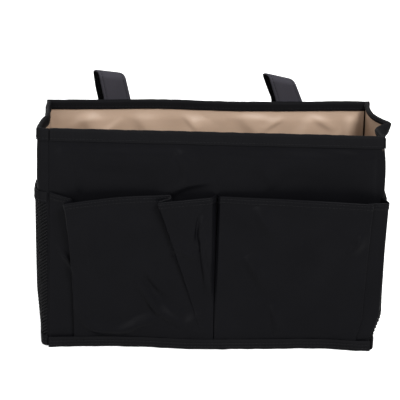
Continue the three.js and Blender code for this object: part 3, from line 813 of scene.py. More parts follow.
CLOTH_STEP = 0.0016
SEAM_HOLD = 0.012  # from a seam to where the cloth hangs free
PANEL_RIM_HOLD = (0.0095, 0.022)
PANEL_SLACK = 0.0022
PANEL_SEED = 3.0
SIDE_COLUMNS = 70
SIDE_END_HOLD = 0.15  # of the side's depth
SIDE_RIM_HOLD = 0.02
SIDE_SLACK = 0.0012
SIDE_SEED = 20.0
BASE_MARGIN = 0.0016


class CADDY_OT_walls(Operator):
    """Builds the black outer cloth of the walls and the base"""

    bl_idname = "caddy.walls"
    bl_label = "Outer Walls"

    def execute(self, context):
        sizes = context.scene.caddy_sizes
        material = material_of("cloth")
        xs = with_edges(-HALF_WIDTH, HALF_WIDTH, CLOTH_STEP)
        zs = with_edges(WALL_FOOT, WALL_TOP, CLOTH_STEP)
        x, z = np.meshgrid(xs, zs)
        held = smooth_step(0, SEAM_HOLD, HALF_WIDTH - np.abs(x))
        held = held * smooth_step(*PANEL_RIM_HOLD, WALL_TOP - z)
        held = held * smooth_step(0, SEAM_HOLD, z - FOOT_TAPE_HIGH)
        for name, facing, creases in (("front", FRONT, FRONT_CREASES), ("back", BACK, BACK_CREASES)):
            slack = held * (loose(x, z, PANEL_SLACK, PANEL_SEED + facing) + relief(x, z, creases))
            grid = straight_grid(facing, xs, zs, sizes.cloth / 2 - slack)
            cloth = add_cloth(f"{name}_panel_cloth", settle(grid), sizes.cloth, material, -facing)
            sew_in(cloth, f"{name}_panel")
        shares = np.linspace(0, 1, SIDE_COLUMNS)
        for side in SIDES:
            across, up = np.meshgrid(shares * DEPTH, zs)
            slack = smooth_step(0, SIDE_END_HOLD, shares) * smooth_step(1, 1 - SIDE_END_HOLD, shares)
            slack = slack * loose(across, up, SIDE_SLACK, SIDE_SEED + side.sign)
            slack = slack * smooth_step(0, SIDE_RIM_HOLD, WALL_TOP - up)
            grid = side_grid(side, shares, zs, sizes.cloth / 2 - slack)
            name = f"{side.name}_side"
            cloth = add_cloth(f"{name}_cloth", settle(grid), sizes.cloth, material_of("side"), side.sign)
            sew_in(cloth, f"{name}_panel")
        grid = base_grid(sizes.cloth / 2, BASE_MARGIN, BASE_MARGIN)
        cloth = add_cloth("base_cloth", settle(grid), sizes.cloth, material)
        sew_in(cloth, "base_panel")
        return {"FINISHED"}


def base_grid(height, from_front, from_side, step=0.003):
    """A layer of the floor, with ends that follow the side walls."""
    behind = np.linspace(from_front, DEPTH - from_front, round(DEPTH / step))
    ends = []
    for side in SIDES:
        plan = plan_curve(side.wall[0])
        ends.append(side.sign * (HALF_WIDTH - from_side + np.interp(behind, plan[:, 1], plan[:, 0])))
    shares = np.linspace(0, 1, round(2 * HALF_WIDTH / step))
    x = blend_of(ends[0][:, None], ends[1][:, None], shares[None, :])
    y = np.broadcast_to((behind - HALF_DEPTH)[:, None], x.shape)
    return np.stack([x, y, np.full(x.shape, height)], axis=-1)


def corner_inset(from_end, corner):
    """How far a rounded corner draws in the side of a plate, at a distance from its end."""
    inset = corner - np.sqrt(np.maximum(corner**2 - (corner - from_end) ** 2, 0))
    return np.where(from_end < corner, inset, 0)


BOARD_CORNER = 0.003
BOARD_ROWS = 80
BOARD_COLUMNS = 120
CORNER_POINTS = 6


def rounded_board(half_width, low, high):
    """Across and up over a plate with rounded corners."""
    turn = BOARD_CORNER * (1 - np.cos(np.linspace(0, np.pi / 2, CORNER_POINTS)))
    straight = np.linspace(low + BOARD_CORNER, high - BOARD_CORNER, BOARD_ROWS)[1:-1]
    zs = np.concatenate([low + turn, straight, high - turn[::-1]])
    inset = corner_inset(np.minimum(zs - low, high - zs), BOARD_CORNER)
    x = np.linspace(-1, 1, BOARD_COLUMNS)[None, :] * (half_width - inset)[:, None]
    return x, np.broadcast_to(zs[:, None], x.shape)


class CADDY_OT_boards(Operator):
    """Builds the hidden boards that stiffen the front, the back and the base"""

    bl_idname = "caddy.boards"
    bl_label = "Stiffening Boards"

    def execute(self, context):
        sizes = context.scene.caddy_sizes
        material = material_of("board")
        x, z = rounded_board(BOARD_HALF, BOARD_LOW, BOARD_HIGH)
        for name, facing in (("front", FRONT), ("back", BACK)):
            y = np.full(x.shape, facing * (HALF_DEPTH - BOARD_INWARD - sizes.board / 2))
            grid = settle(np.stack([x, y, z], axis=-1))
            board = add_cloth(f"{name}_board_sheet", grid, sizes.board, material, -facing)
            stand_in(board.obj, f"{name}_board")
        from_side = SOFT_WALL + GAP + sizes.board / 2
        grid = base_grid(BASE_BOARD_LOW + sizes.board / 2, BOARDED_WALL + GAP, from_side)
        board = add_cloth("base_board_sheet", settle(grid), sizes.board, material)
        stand_in(board.obj, "base_board")
        return {"FINISHED"}


LINING_CREASES = {
    "back": (
        Crease(((-0.122, 0.198), (-0.112, 0.176), (-0.104, 0.150)), 0.009, 0.0034),
        Crease(((-0.072, 0.198), (-0.060, 0.180), (-0.045, 0.160)), 0.008, 0.0028),
        Crease(((-0.008, 0.196), (-0.018, 0.178), (-0.032, 0.160)), 0.009, 0.0030),
        Crease(((0.030, 0.198), (0.044, 0.184), (0.062, 0.165)), 0.009, 0.0030),
        Crease(((0.102, 0.198), (0.094, 0.180), (0.085, 0.160)), 0.008, 0.0030),
        Crease(((0.138, 0.198), (0.137, 0.176), (0.134, 0.150)), 0.006, 0.0034),
        Crease(((-0.084, 0.192), (-0.096, 0.183), (-0.108, 0.175)), 0.0034, 0.0014),
        Crease(((-0.108, 0.199), (-0.124, 0.190), (-0.140, 0.180)), 0.0045, 0.0016),
        Crease(((0.096, 0.200), (0.110, 0.191), (0.125, 0.180)), 0.0038, 0.0016),
        Crease(((0.016, 0.195), (0.040, 0.196), (0.062, 0.192)), 0.0040, 0.0014),
        Crease(((0.052, 0.181), (0.062, 0.188), (0.074, 0.195)), 0.0030, 0.0014),
        Crease(((-0.026, 0.197), (-0.018, 0.188), (-0.010, 0.180)), 0.0030, 0.0012),
    ),
    "front": (
        Crease(((-0.090, 0.190), (-0.074, 0.160), (-0.060, 0.120)), 0.010, 0.0024),
        Crease(((0.070, 0.190), (0.062, 0.160), (0.050, 0.130)), 0.010, 0.0024),
    ),
}
LINING_EDGE = HALF_WIDTH - 0.0004
LINING_SEAM = 0.0018  # how far the right end stops short, which leaves a dark corner
LINING_SIDE_HOLD = 0.01
LINING_RIM_HOLD = (0.0075, 0.019)
LINING_FOOT_HOLD = 0.02
LINING_SLACK = 0.0022
LINING_SEED = 41.0
LINING_BACK_END = 0.955  # of the side's depth
LINING_COLUMNS = 64
SIDE_LINING_HOLD = 0.12
SIDE_LINING_FREE = 0.85
SIDE_LINING_RIM_HOLD = 0.015
SIDE_LINING_SLACK = 0.0016
SIDE_LINING_SEED = 50.0
FLOOR_HOLD = 0.02
FLOOR_SLACK = 0.0015
FLOOR_SEED = 61.0


class CADDY_OT_lining(Operator):
    """Builds the beige lining of the walls and the floor"""

    bl_idname = "caddy.lining"
    bl_label = "Lining"

    def execute(self, context):
        sizes = context.scene.caddy_sizes
        material = material_of("lining")
        xs = with_edges(-LINING_EDGE, LINING_EDGE - LINING_SEAM, CLOTH_STEP)
        zs = with_edges(WALL_FOOT, WALL_TOP, CLOTH_STEP)
        x, z = np.meshgrid(xs, zs)
        held = smooth_step(0, LINING_SIDE_HOLD, LINING_EDGE - np.abs(x))
        held = held * smooth_step(*LINING_RIM_HOLD, WALL_TOP - z)
        held = held * smooth_step(0, LINING_FOOT_HOLD, z - WALL_FOOT)
        for name, facing in (("front", FRONT), ("back", BACK)):
            creased = relief(x, z, LINING_CREASES[name])
            slack = held * (loose(x, z, LINING_SLACK, LINING_SEED + facing) + creased)
            grid = straight_grid(facing, xs, zs, LINING_INWARD + sizes.lining / 2 + slack)
            cloth = add_cloth(f"{name}_lining_cloth", settle(grid), sizes.lining, material, -facing)
            sew_in(cloth, f"{name}_lining")
        shares = np.linspace(0, LINING_BACK_END, LINING_COLUMNS)
        for side in SIDES:
            across, up = np.meshgrid(shares * DEPTH, zs)
            slack = smooth_step(0, SIDE_LINING_HOLD, shares)
            slack = slack * smooth_step(LINING_BACK_END, SIDE_LINING_FREE, shares)
            slack = slack * loose(across, up, SIDE_LINING_SLACK, SIDE_LINING_SEED + side.sign)
            slack = slack * smooth_step(0, SIDE_LINING_RIM_HOLD, WALL_TOP - up)
            grid = side_grid(side, shares, zs, SOFT_LINING + sizes.lining / 2 + slack)
            cloth = add_cloth(f"{side.name}_lining_cloth", settle(grid), sizes.lining, material, side.sign)
            sew_in(cloth, f"{side.name}_side_lining")
        from_side = SOFT_WALL + GAP + sizes.lining / 2
        grid = base_grid(BASE_LINING_LOW + sizes.lining / 2, BOARDED_WALL + GAP, from_side)
        inside = smooth_step(0, FLOOR_HOLD, HALF_WIDTH - np.abs(grid[..., 0]))
        inside = inside * smooth_step(0, FLOOR_HOLD, HALF_DEPTH - np.abs(grid[..., 1]))
        grid[..., 2] += inside * loose(grid[..., 0], grid[..., 1], FLOOR_SLACK, FLOOR_SEED)
        cloth = add_cloth("base_lining_cloth", settle(grid), sizes.lining, material)
        sew_in(cloth, "base_lining")
        return {"FINISHED"}


# Edge tapes

RIM_TAPE_OUTER = 0.0112
RIM_TAPE_INNER = 0.0085
RIM_ROUND = 0.0018
RIM_POINTS = 11
RIM_STEP = 0.002
FRONT_RIM_REACH = -0.0006  # past the seams
BACK_RIM_REACH = 0.0028
RIM_SEED = 70.0
SIDE_RIM_END = 0.95  # of the side's depth
SIDE_RIM_SEED = 80.0
TAPE_COLUMNS = 90
RIM_STITCH_ROW = 2.6
TAPE_STEP = 0.0011
TAPE_MARGIN = 0.0003


def rim_profile(wall, tape, inside):
    """Inward and height of the middle of a tape folded over a wall and a distance down inside it."""
    outer = -GAP - tape / 2
    inner = wall + GAP + tape / 2
    top = RIM - tape / 2 - RIM_ROUND
    up = with_edges(RIM - RIM_TAPE_OUTER, top, TAPE_STEP, TAPE_MARGIN)
    down = with_edges(RIM - inside, top, TAPE_STEP, TAPE_MARGIN)[::-1]
    turn = np.linspace(np.pi, 0, RIM_POINTS)[1:-1]
    middle = (outer + inner) / 2
    over = middle + (inner - middle) * np.cos(turn)
    inward = np.concatenate([np.full(len(up), outer), over, np.full(len(down), inner)])
    height = np.concatenate([up, top + RIM_ROUND * np.sin(turn), down])
    return inward, height


RIPPLE = 0.0075
RIPPLE_ROW = 0.5
WANDER = 0.028
WANDER_ROW = 2.5


def puckered(grid, facing, along, seed, depth=0.0003, wave=0.0002):
    """A tape drawn in by its stitching: it ripples outward and its edges wander."""
    ripple = waves(along, RIPPLE_ROW, RIPPLE, seed)
    wander = waves(along, WANDER_ROW, WANDER, seed)
    normals = normals_of(grid, facing)
    moved = grid + normals * (depth * ripple)[None, :, None]
    moved[..., 2] += wave * wander[None, :]
    return moved


class CADDY_OT_rim_tapes(Operator):
    """Builds the tape folded over the rim, with its line of stitching"""

    bl_idname = "caddy.rim_tapes"
    bl_label = "Rim Tapes"

    def execute(self, context):
        sizes = context.scene.caddy_sizes
        material = material_of("tape")
        inward, zs = rim_profile(BOARDED_WALL, sizes.tape, RIM_TAPE_INNER)
        for name, facing, reach in (("front", FRONT, FRONT_RIM_REACH), ("back", BACK, BACK_RIM_REACH)):
            end = HALF_WIDTH + reach
            xs = with_edges(-end, end, RIM_STEP)
            grid = straight_grid(facing, xs, zs, inward[:, None])
            grid = puckered(grid, -facing, xs, RIM_SEED + facing)
            cloth = add_cloth(f"{name}_rim_tape_cloth", settle(grid), sizes.tape, material, -facing)
            self.bind(cloth, f"{name}_rim_tape", [f"{name}_panel_cloth", f"{name}_lining_cloth"], sizes)
        shares = np.linspace(0, SIDE_RIM_END, TAPE_COLUMNS)
        for side in SIDES:
            inward, zs = rim_profile(SOFT_WALL, sizes.tape, side.tape_inside)
            grid = side_grid(side, shares, zs, inward)
            grid = puckered(grid, side.sign, shares * DEPTH, SIDE_RIM_SEED + side.sign)
            name = side.name
            cloth = add_cloth(f"{name}_rim_tape_cloth", settle(grid), sizes.tape, material, side.sign)
            self.bind(cloth, f"{name}_rim_tape", [f"{name}_side_cloth", f"{name}_lining_cloth"], sizes)
        return {"FINISHED"}

    def bind(self, cloth, node, rests_on, sizes):
        sew_in(cloth, node)
        last = cloth.grid.shape[0] - 1
        paths = [row_path(cloth, RIM_STITCH_ROW), row_path(cloth, last - RIM_STITCH_ROW)]
        add_stitches(f"{node}_stitches", cloth.obj, paths, sizes)


FOOT_GROOVES = (0.0036, 0.0066)
FOOT_GROOVE_DEPTH = 0.00035
FOOT_GROOVE_WIDTH = 0.0005
FOOT_STEP = 0.0005
FOOT_TURN = 0.0018
FOOT_TURN_POINTS = 7
FOOT_UNDER = 0.004
FOOT_UNDER_LEAST = 0.001
FOOT_UNDER_POINTS = 6
FOOT_PUCKER = 0.0004
FOOT_LIFT = 0.0005
FOOT_LIFT_WAVE = 0.045
FOOT_LIFT_ROW = 1.5
FOOT_SEED = 90.0
FOOT_LIFT_SEED = 95.0
SIDE_FOOT_SEED = 97.0
SIDE_FOOT_LIFT_SEED = 98.0


def foot_profile(sewn_on, tape):
    """Inward and height of the middle of a tape turned under a wall, from its upper edge."""
    outer = -sewn_on - GAP - tape / 2
    leg = with_edges(FOOT_TURN, FOOT_TAPE_HIGH, FOOT_STEP, TAPE_MARGIN)[::-1]
    groove = sum(np.exp(-(((leg - at) / FOOT_GROOVE_WIDTH) ** 2)) for at in FOOT_GROOVES)
    turn = np.linspace(np.pi, 1.5 * np.pi, FOOT_TURN_POINTS)[1:]
    reach = FOOT_TURN - tape / 2
    last = max(FOOT_UNDER_LEAST, outer + reach + FOOT_UNDER)
    under = np.linspace(outer + reach, last, FOOT_UNDER_POINTS)[1:]
    inward = np.concatenate([outer + FOOT_GROOVE_DEPTH * groove, outer + reach * (1 + np.cos(turn)), under])
    height = np.concatenate([leg, FOOT_TURN + reach * np.sin(turn), np.full(len(under), tape / 2)])
    return inward, height


POCKET_FOOT_OUT = 0.00408
NET_FOOT_OUT = 0.0012


class CADDY_OT_foot_tapes(Operator):
    """Builds the ribbed tape round the foot, with its two lines of stitching"""

    bl_idname = "caddy.foot_tapes"
    bl_label = "Foot Tapes"

    def execute(self, context):
        sizes = context.scene.caddy_sizes
        material = material_of("tape")
        for name, facing, sewn_on in (("front", FRONT, POCKET_FOOT_OUT), ("back", BACK, 0.0)):
            inward, zs = foot_profile(sewn_on, sizes.tape)
            xs = with_edges(-HALF_WIDTH, HALF_WIDTH, RIM_STEP)
            grid = straight_grid(facing, xs, zs, inward[:, None])
            grid = puckered(grid, facing, xs, FOOT_SEED + facing, FOOT_PUCKER, 0.0)
            grid = self.wavy(grid, xs, FOOT_LIFT_SEED + facing)
            cloth = add_cloth(f"{name}_foot_tape_cloth", settle(grid), sizes.tape, material, facing)
            self.bind(cloth, f"{name}_foot_tape", [f"{name}_panel_cloth"], sizes)
        shares = np.linspace(0, 1, TAPE_COLUMNS)
        for side in SIDES:
            inward, zs = foot_profile(NET_FOOT_OUT, sizes.tape)
            grid = side_grid(side, shares, zs, inward)
            grid = puckered(grid, -side.sign, shares * DEPTH, SIDE_FOOT_SEED, FOOT_PUCKER, 0.0)
            grid = self.wavy(grid, shares * DEPTH, SIDE_FOOT_LIFT_SEED)
            name = side.name
            cloth = add_cloth(f"{name}_foot_tape_cloth", settle(grid), sizes.tape, material, -side.sign)
            self.bind(cloth, f"{name}_foot_tape", [f"{name}_side_cloth"], sizes)
        return {"FINISHED"}

    def wavy(self, grid, along, seed):
        lift = waves(along, FOOT_LIFT_ROW, FOOT_LIFT_WAVE, seed)
        grid[..., 2] += FOOT_LIFT * np.maximum(0, lift)[None, :]
        return grid

    def bind(self, cloth, node, rests_on, sizes):
        sew_in(cloth, node)
        heights = cloth.grid[:, 0, 2] - cloth.grid[:, 0, 2].min() + sizes.tape / 2
        rows = [int(np.argmin(np.abs(heights - at))) for at in FOOT_GROOVES]
        paths = [row_path(cloth, row) for row in rows]
        add_stitches(f"{node}_stitches", cloth.obj, paths, sizes)


# Front pockets

POCKET_CLOTH = 0.0009
POCKET_SPAN = HALF_WIDTH - 2 * SEAM_INSET
FOLD_PITCH = 1.6 * POCKET_CLOTH
FOLD_BEND = FOLD_PITCH / 2
SOFT_BEND = 0.014
FIRST_LAYER = GAP + POCKET_CLOTH / 2
SECOND_LAYER = FIRST_LAYER + FOLD_PITCH
THIRD_LAYER = SECOND_LAYER + FOLD_PITCH
FACE_START = 0.06
PLEAT_DEPTH = 0.01
BEND_POINTS = 6
BEND_LIMIT = 0.49  # of the shorter straight beside a bend
POCKET_STEP = 0.0011
POCKET_ROWS = 130
HEM_ROWS = 8
HEM_EDGE = 0.0004
HEM_START = 0.0012
MOUTH_EDGE = 0.0006
HEM_EXTRA = 0.8  # of the cloth, where the hem is doubled
HEM_STITCH_LOW = 0.0014
HEM_STITCH_HIGH = 0.0018
POCKET_SLACK = 0.0022
POCKET_SEEDS = {"left": 34.0, "right": 35.0}
POCKET_FREE = 0.010  # out from the panel, where the cloth hangs free
POCKET_FOOT_HOLD = 0.008
LAYER_HOLD = 0.0015
DIVIDER_BEND = 0.002  # from the divider to the right pocket's bend


def foot_pleat(fold):
    return [
        (fold + PLEAT_DEPTH, FIRST_LAYER, FOLD_BEND, 0),
        (fold + PLEAT_DEPTH, SECOND_LAYER, FOLD_BEND, 0),
        (fold, SECOND_LAYER, FOLD_BEND, 0),
        (fold, THIRD_LAYER, FOLD_BEND, 0),
    ]


Pocket = namedtuple("Pocket", "name sign mouth foot eases")


def left_pocket():
    """Corners of the left pocket at its mouth and foot: across from the seam, out, bend, droop.

    A pocket's eases say how soon each corner leaves its place at the foot on the way up.
    """
    pleat, pleat_out = 0.0195, 0.0055
    face, face_out = 0.013, 0.018
    slant, slant_out = POCKET_SPAN - 0.055, 0.0165
    tuck, tuck_out = slant + 0.012, 0.0070
    middle = 0.064
    slant_foot = POCKET_SPAN - 0.010
    mouth = [
        (0, FIRST_LAYER, 0, 0.0010),
        (pleat, pleat_out, FOLD_BEND, 0.0053),
        (pleat, pleat_out + FOLD_PITCH, FOLD_BEND, 0.0056),
        (face, face_out - 2 * FOLD_PITCH, FOLD_PITCH, 0.0066),
        (face, face_out, FOLD_PITCH, 0.0068),
        (middle, 0.0130, SOFT_BEND, 0.0004),
        (tuck, tuck_out, FOLD_BEND, -0.0006),
        (tuck, tuck_out + FOLD_PITCH, FOLD_BEND, 0.0018),
        (slant, slant_out - 2 * FOLD_PITCH, FOLD_PITCH, 0.0042),
        (slant, slant_out, FOLD_PITCH, 0.0044),
        (POCKET_SPAN - 0.005, 0.0100, 0.003, 0.0004),
        (POCKET_SPAN, FIRST_LAYER, 0, 0),
    ]
    foot = [
        (0, FIRST_LAYER, 0, 0),
        *foot_pleat(0.023),
        (middle, THIRD_LAYER, SOFT_BEND, 0),
        (slant_foot - 0.0014, THIRD_LAYER, FOLD_BEND, 0),
        (slant_foot - 0.0007, THIRD_LAYER, FOLD_BEND, 0),
        (slant_foot + 0.0007, THIRD_LAYER, FOLD_BEND, 0),
        (slant_foot + 0.0014, THIRD_LAYER, FOLD_BEND, 0),
        (POCKET_SPAN - 0.003, THIRD_LAYER, 0.001, 0),
        (POCKET_SPAN, THIRD_LAYER, 0, 0),
    ]
    across = np.array([1, 1.8, 1.8, 1.8, 1.8, 1, 1, 1, 1, 1, 1, 1])
    out = np.array([1, 1.8, 1.8, 1.8, 1.8, 1, 1.3, 1.3, 1.3, 1.3, 1, 1])
    eases = np.stack([across, out, out, out], axis=-1)
    return Pocket("left", -1, np.array(mouth), np.array(foot), eases)


def right_pocket():
    """Corners of the right pocket, as for the left."""
    mouth = [
        (0, FIRST_LAYER, 0, 0.0005),
        (-0.005, 0.0125, 0.004, 0.0012),
        (0.0165, 0.0150, 0.002, 0.0012),
        (0.0115, 0.0163, FOLD_BEND, 0.0012),
        (0.0115, 0.0177, FOLD_BEND, 0.0012),
        (FACE_START, 0.019, SOFT_BEND, -0.0012),
        (POCKET_SPAN - DIVIDER_BEND, 0.0065, 0.0012, 0),
        (POCKET_SPAN, FIRST_LAYER, 0, 0),
    ]
    foot = [
        (0, FIRST_LAYER, 0, 0),
        (0.010, FIRST_LAYER, FOLD_BEND, 0),
        *foot_pleat(0.014)[1:],
        (FACE_START, THIRD_LAYER, SOFT_BEND, 0),
        (POCKET_SPAN - DIVIDER_BEND, THIRD_LAYER, 0.0008, 0),
        (POCKET_SPAN, THIRD_LAYER, 0, 0),
    ]
    across = np.array([1, 0.1, 0.8, 1.5, 1.5, 1, 1, 1])
    out = np.array([1, 1.6, 1.6, 1.5, 1.5, 1, 1, 1])
    eases = np.stack([across, out, out, out], axis=-1)
    return Pocket("right", 1, np.array(mouth), np.array(foot), eases)


def rounded_line(corners, counts):
    """A line through corners rounded by their bends, with a set count of points on each straight.

    Each point is across, out and droop.
    """
    points = corners[:, [0, 1, 3]]
    line = []
    last = points[0]
    for i in range(1, len(points) - 1):
        before = points[i - 1] - points[i]
        after = points[i + 1] - points[i]
        before_length = np.linalg.norm(before[:2])
        after_length = np.linalg.norm(after[:2])
        bend = min(corners[i, 2], BEND_LIMIT * min(before_length, after_length))
        start = points[i] + before * bend / before_length
        end = points[i] + after * bend / after_length
        line.extend(blend_of(last, start, t) for t in np.linspace(0, 1, counts[i - 1], endpoint=False))
        for t in np.linspace(0, 1, BEND_POINTS, endpoint=False):
            line.append((1 - t) ** 2 * start + 2 * t * (1 - t) * points[i] + t**2 * end)
        last = end
    line.extend(blend_of(last, points[-1], t) for t in np.linspace(0, 1, counts[-1]))
    return np.array(line)


def pocket_grid(pocket, zs):
    """The middle of a pocket's cloth. Its mouth droops where the folds hang free."""
    lengths = [np.linalg.norm(np.diff(c[:, :2], axis=0), axis=1) for c in (pocket.mouth, pocket.foot)]
    counts = np.maximum(3, np.round(np.maximum(*lengths) / POCKET_STEP)).astype(int)
    ups = np.maximum(0, np.asarray(zs) - FOOT_TAPE_HIGH) / (POCKET_HIGH - FOOT_TAPE_HIGH)
    rows = []
    for up in ups:
        rows.append(rounded_line(blend_of(pocket.foot, pocket.mouth, up**pocket.eases), counts))
    lines = np.array(rows)
    x = pocket.sign * (HALF_WIDTH - SEAM_INSET - lines[..., 0])
    z = np.asarray(zs)[:, None] - lines[..., 2] * (ups**2)[:, None]
    return np.stack([x, -HALF_DEPTH - lines[..., 1], z], axis=-1)


POCKET_CREASES = {
    "left": (
        Crease(
            (
                (-0.080, 0.075), (-0.074, 0.067), (-0.065, 0.054),
                (-0.054, 0.038), (-0.035, 0.026), (-0.027, 0.016),
            ),
            0.0036,
            0.0036,
        ),
        Crease(((-0.078, 0.080), (-0.061, 0.062), (-0.054, 0.052), (-0.040, 0.039)), 0.0038, -0.0015),
        Crease(((-0.068, 0.083), (-0.055, 0.064), (-0.042, 0.052)), 0.0036, 0.0020),
        Crease(((-0.094, 0.010), (-0.078, 0.020), (-0.068, 0.024), (-0.050, 0.029)), 0.0030, 0.0024),
        Crease(((-0.092, 0.020), (-0.073, 0.032), (-0.056, 0.037)), 0.0036, -0.0014),
        Crease(((-0.029, 0.020), (-0.020, 0.028), (-0.009, 0.036)), 0.0040, 0.0024),
        Crease(((-0.134, 0.044), (-0.119, 0.023), (-0.103, 0.015), (-0.078, 0.015)), 0.0040, 0.0034),
        Crease(((-0.154, 0.101), (-0.141, 0.088), (-0.131, 0.074)), 0.0022, 0.0042),
        Crease(((-0.124, 0.136), (-0.118, 0.110), (-0.110, 0.070)), 0.0100, 0.0030),
        Crease(((-0.011, 0.147), (-0.017, 0.130), (-0.019, 0.117), (-0.020, 0.102)), 0.0024, -0.0020),
        Crease(((-0.016, 0.124), (-0.018, 0.115), (-0.016, 0.102)), 0.0020, -0.0014),
        Crease(
            ((-0.014, 0.134), (-0.016, 0.115), (-0.014, 0.106), (-0.0125, 0.092), (-0.006, 0.052)),
            0.0026,
            0.0040,
        ),
        Crease(((-0.044, 0.099), (-0.032, 0.098), (-0.0235, 0.093), (-0.016, 0.097)), 0.0040, 0.0028),
    ),
    "right": (
        Crease(((0.027, 0.094), (0.036, 0.080), (0.050, 0.056)), 0.0050, 0.0032),
        Crease(((0.035, 0.144), (0.044, 0.128), (0.054, 0.112)), 0.0060, 0.0034),
        Crease(((0.054, 0.046), (0.058, 0.030), (0.060, 0.014)), 0.0040, 0.0028),
        Crease(((0.090, 0.125), (0.092, 0.100), (0.090, 0.070)), 0.0080, 0.0030),
        Crease(((0.136, 0.122), (0.131, 0.108), (0.123, 0.098)), 0.0036, 0.0028),
    ),
}


class CADDY_OT_front_pockets(Operator):
    """Builds the two pleated front pockets with their stitched hems"""

    bl_idname = "caddy.front_pockets"
    bl_label = "Front Pockets"

    def execute(self, context):
        sizes = context.scene.caddy_sizes
        material = material_of("cloth")
        hem_low = POCKET_HIGH - sizes.hem
        zs = np.concatenate(
            [
                np.linspace(WALL_FOOT, hem_low - HEM_EDGE, POCKET_ROWS),
                [hem_low, hem_low + HEM_EDGE],
                np.linspace(hem_low + HEM_START, POCKET_HIGH - MOUTH_EDGE, HEM_ROWS),
                [POCKET_HIGH],
            ]
        )
        doubled = smooth_step(hem_low - HEM_EDGE, hem_low + HEM_EDGE, zs)
        thickness = POCKET_CLOTH * (1 + HEM_EXTRA * doubled)
        stitched = (hem_low + HEM_STITCH_LOW, POCKET_HIGH - HEM_STITCH_HIGH)
        rows = [np.interp(at, zs, np.arange(len(zs))) for at in stitched]
        for pocket in (left_pocket(), right_pocket()):
            name = pocket.name
            grid = settle(self.slacken(pocket_grid(pocket, zs), name))
            cloth = add_cloth(f"{name}_pocket_cloth", grid, thickness[:, None], material, -pocket.sign)
            sew_in(cloth, f"{name}_front_pocket")
            paths = [row_path(cloth, row) for row in rows]
            add_stitches(f"{name}_pocket_stitches", cloth.obj, paths, sizes)
        return {"FINISHED"}

    def slacken(self, grid, name):
        """Creases and hangs the cloth, more where it stands clear of the panel."""
        out = -HALF_DEPTH - grid[..., 1]
        x, z = grid[..., 0], grid[..., 2]
        clear = smooth_step(THIRD_LAYER, POCKET_FREE, out)
        free = np.maximum(clear, smooth_step(0, LAYER_HOLD, out - FIRST_LAYER))
        held = smooth_step(0, POCKET_FOOT_HOLD, z - FOOT_TAPE_HIGH)
        slack = loose(x, z, POCKET_SLACK, POCKET_SEEDS[name]) + relief(x, z, POCKET_CREASES[name])
        moved = grid.copy()
        moved[..., 1] -= slack * free * held
        return moved


# Net pockets

JUST_OVER_ONE = 1.000001


def bilinear(grid, rows, columns):
    """Points of a grid at fractional rows and columns."""
    r = np.clip(rows, 0, grid.shape[0] - JUST_OVER_ONE)
    c = np.clip(columns, 0, grid.shape[1] - JUST_OVER_ONE)
    r0, c0 = r.astype(int), c.astype(int)
    fr, fc = (r - r0)[:, None], (c - c0)[:, None]
    low = blend_of(grid[r0, c0], grid[r0, c0 + 1], fc)
    high = blend_of(grid[r0 + 1, c0], grid[r0 + 1, c0 + 1], fc)
    return blend_of(low, high, fr)


NET_SIDES = 4
THICK_STRAND = 1.6  # of the strand's size, for the knit's two slants
THIN_STRAND = 0.45
NET_COLUMNS = 90
NET_ROWS = 60
NET_END = 0.004  # of the side's depth, left bare at each end
NET_UNDER_TAPE = 0.002
NET_TAPE_PUCKER = 0.0005
NET_TAPE_WANDER = 0.0006
NET_TAPE_SEED = 110.0
NET_STITCH_ROW = 2.5
NET_FOLD_POINTS = 7


def add_net(name, grid, sizes, material, facing):
    """Slanting strands both ways over a grid, crossing to make diamonds."""
    width = np.mean([run_of(row)[-1] for row in grid])
    height = np.mean([run_of(grid[:, c])[-1] for c in range(grid.shape[1])])
    normals = normals_of(grid, facing)
    columns = 2 * round(width / sizes.mesh_width)
    rows = 2 * round(height / sizes.mesh_height)
    angles = np.linspace(0, 2 * np.pi, NET_SIDES, endpoint=False) + np.pi / 4
    points, faces, uvs = [], [], []
    base = 0
    for way in (1, -1):
        radius = sizes.strand / 2 * (THICK_STRAND if way < 0 else THIN_STRAND)
        for start in range(-rows, columns + rows + 1, 2):
            steps = np.arange(rows + 1)
            across = start + way * steps
            kept = (across >= 0) & (across <= columns)
            if kept.sum() < 2:
                continue
            at_row = steps[kept] / rows * (grid.shape[0] - 1)
            at_column = across[kept] / columns * (grid.shape[1] - 1)
            line = bilinear(grid, at_row, at_column)
            up = unit(bilinear(normals, at_row, at_column))
            line = line + up * sizes.strand / 4 * way * facing * np.where(steps[kept] % 2, 1, -1)[:, None]
            aside = unit(np.cross(np.gradient(line, axis=0), up))
            around = np.cos(angles)[None, :, None] * aside[:, None]
            around = around + np.sin(angles)[None, :, None] * up[:, None]
            rings = line[:, None] + radius * around
            faces += tube_faces(base, len(line), NET_SIDES)
            points.append(rings.reshape(-1, 3))
            run = np.repeat(run_of(line), NET_SIDES)
            uvs.append(np.stack([run, np.tile(angles * radius, len(line))], axis=-1))
            base += len(line) * NET_SIDES
    obj = add_mesh(name, np.vstack(points), faces, np.vstack(uvs), material)
    return Cloth(obj, grid, normals, None, (width, height))


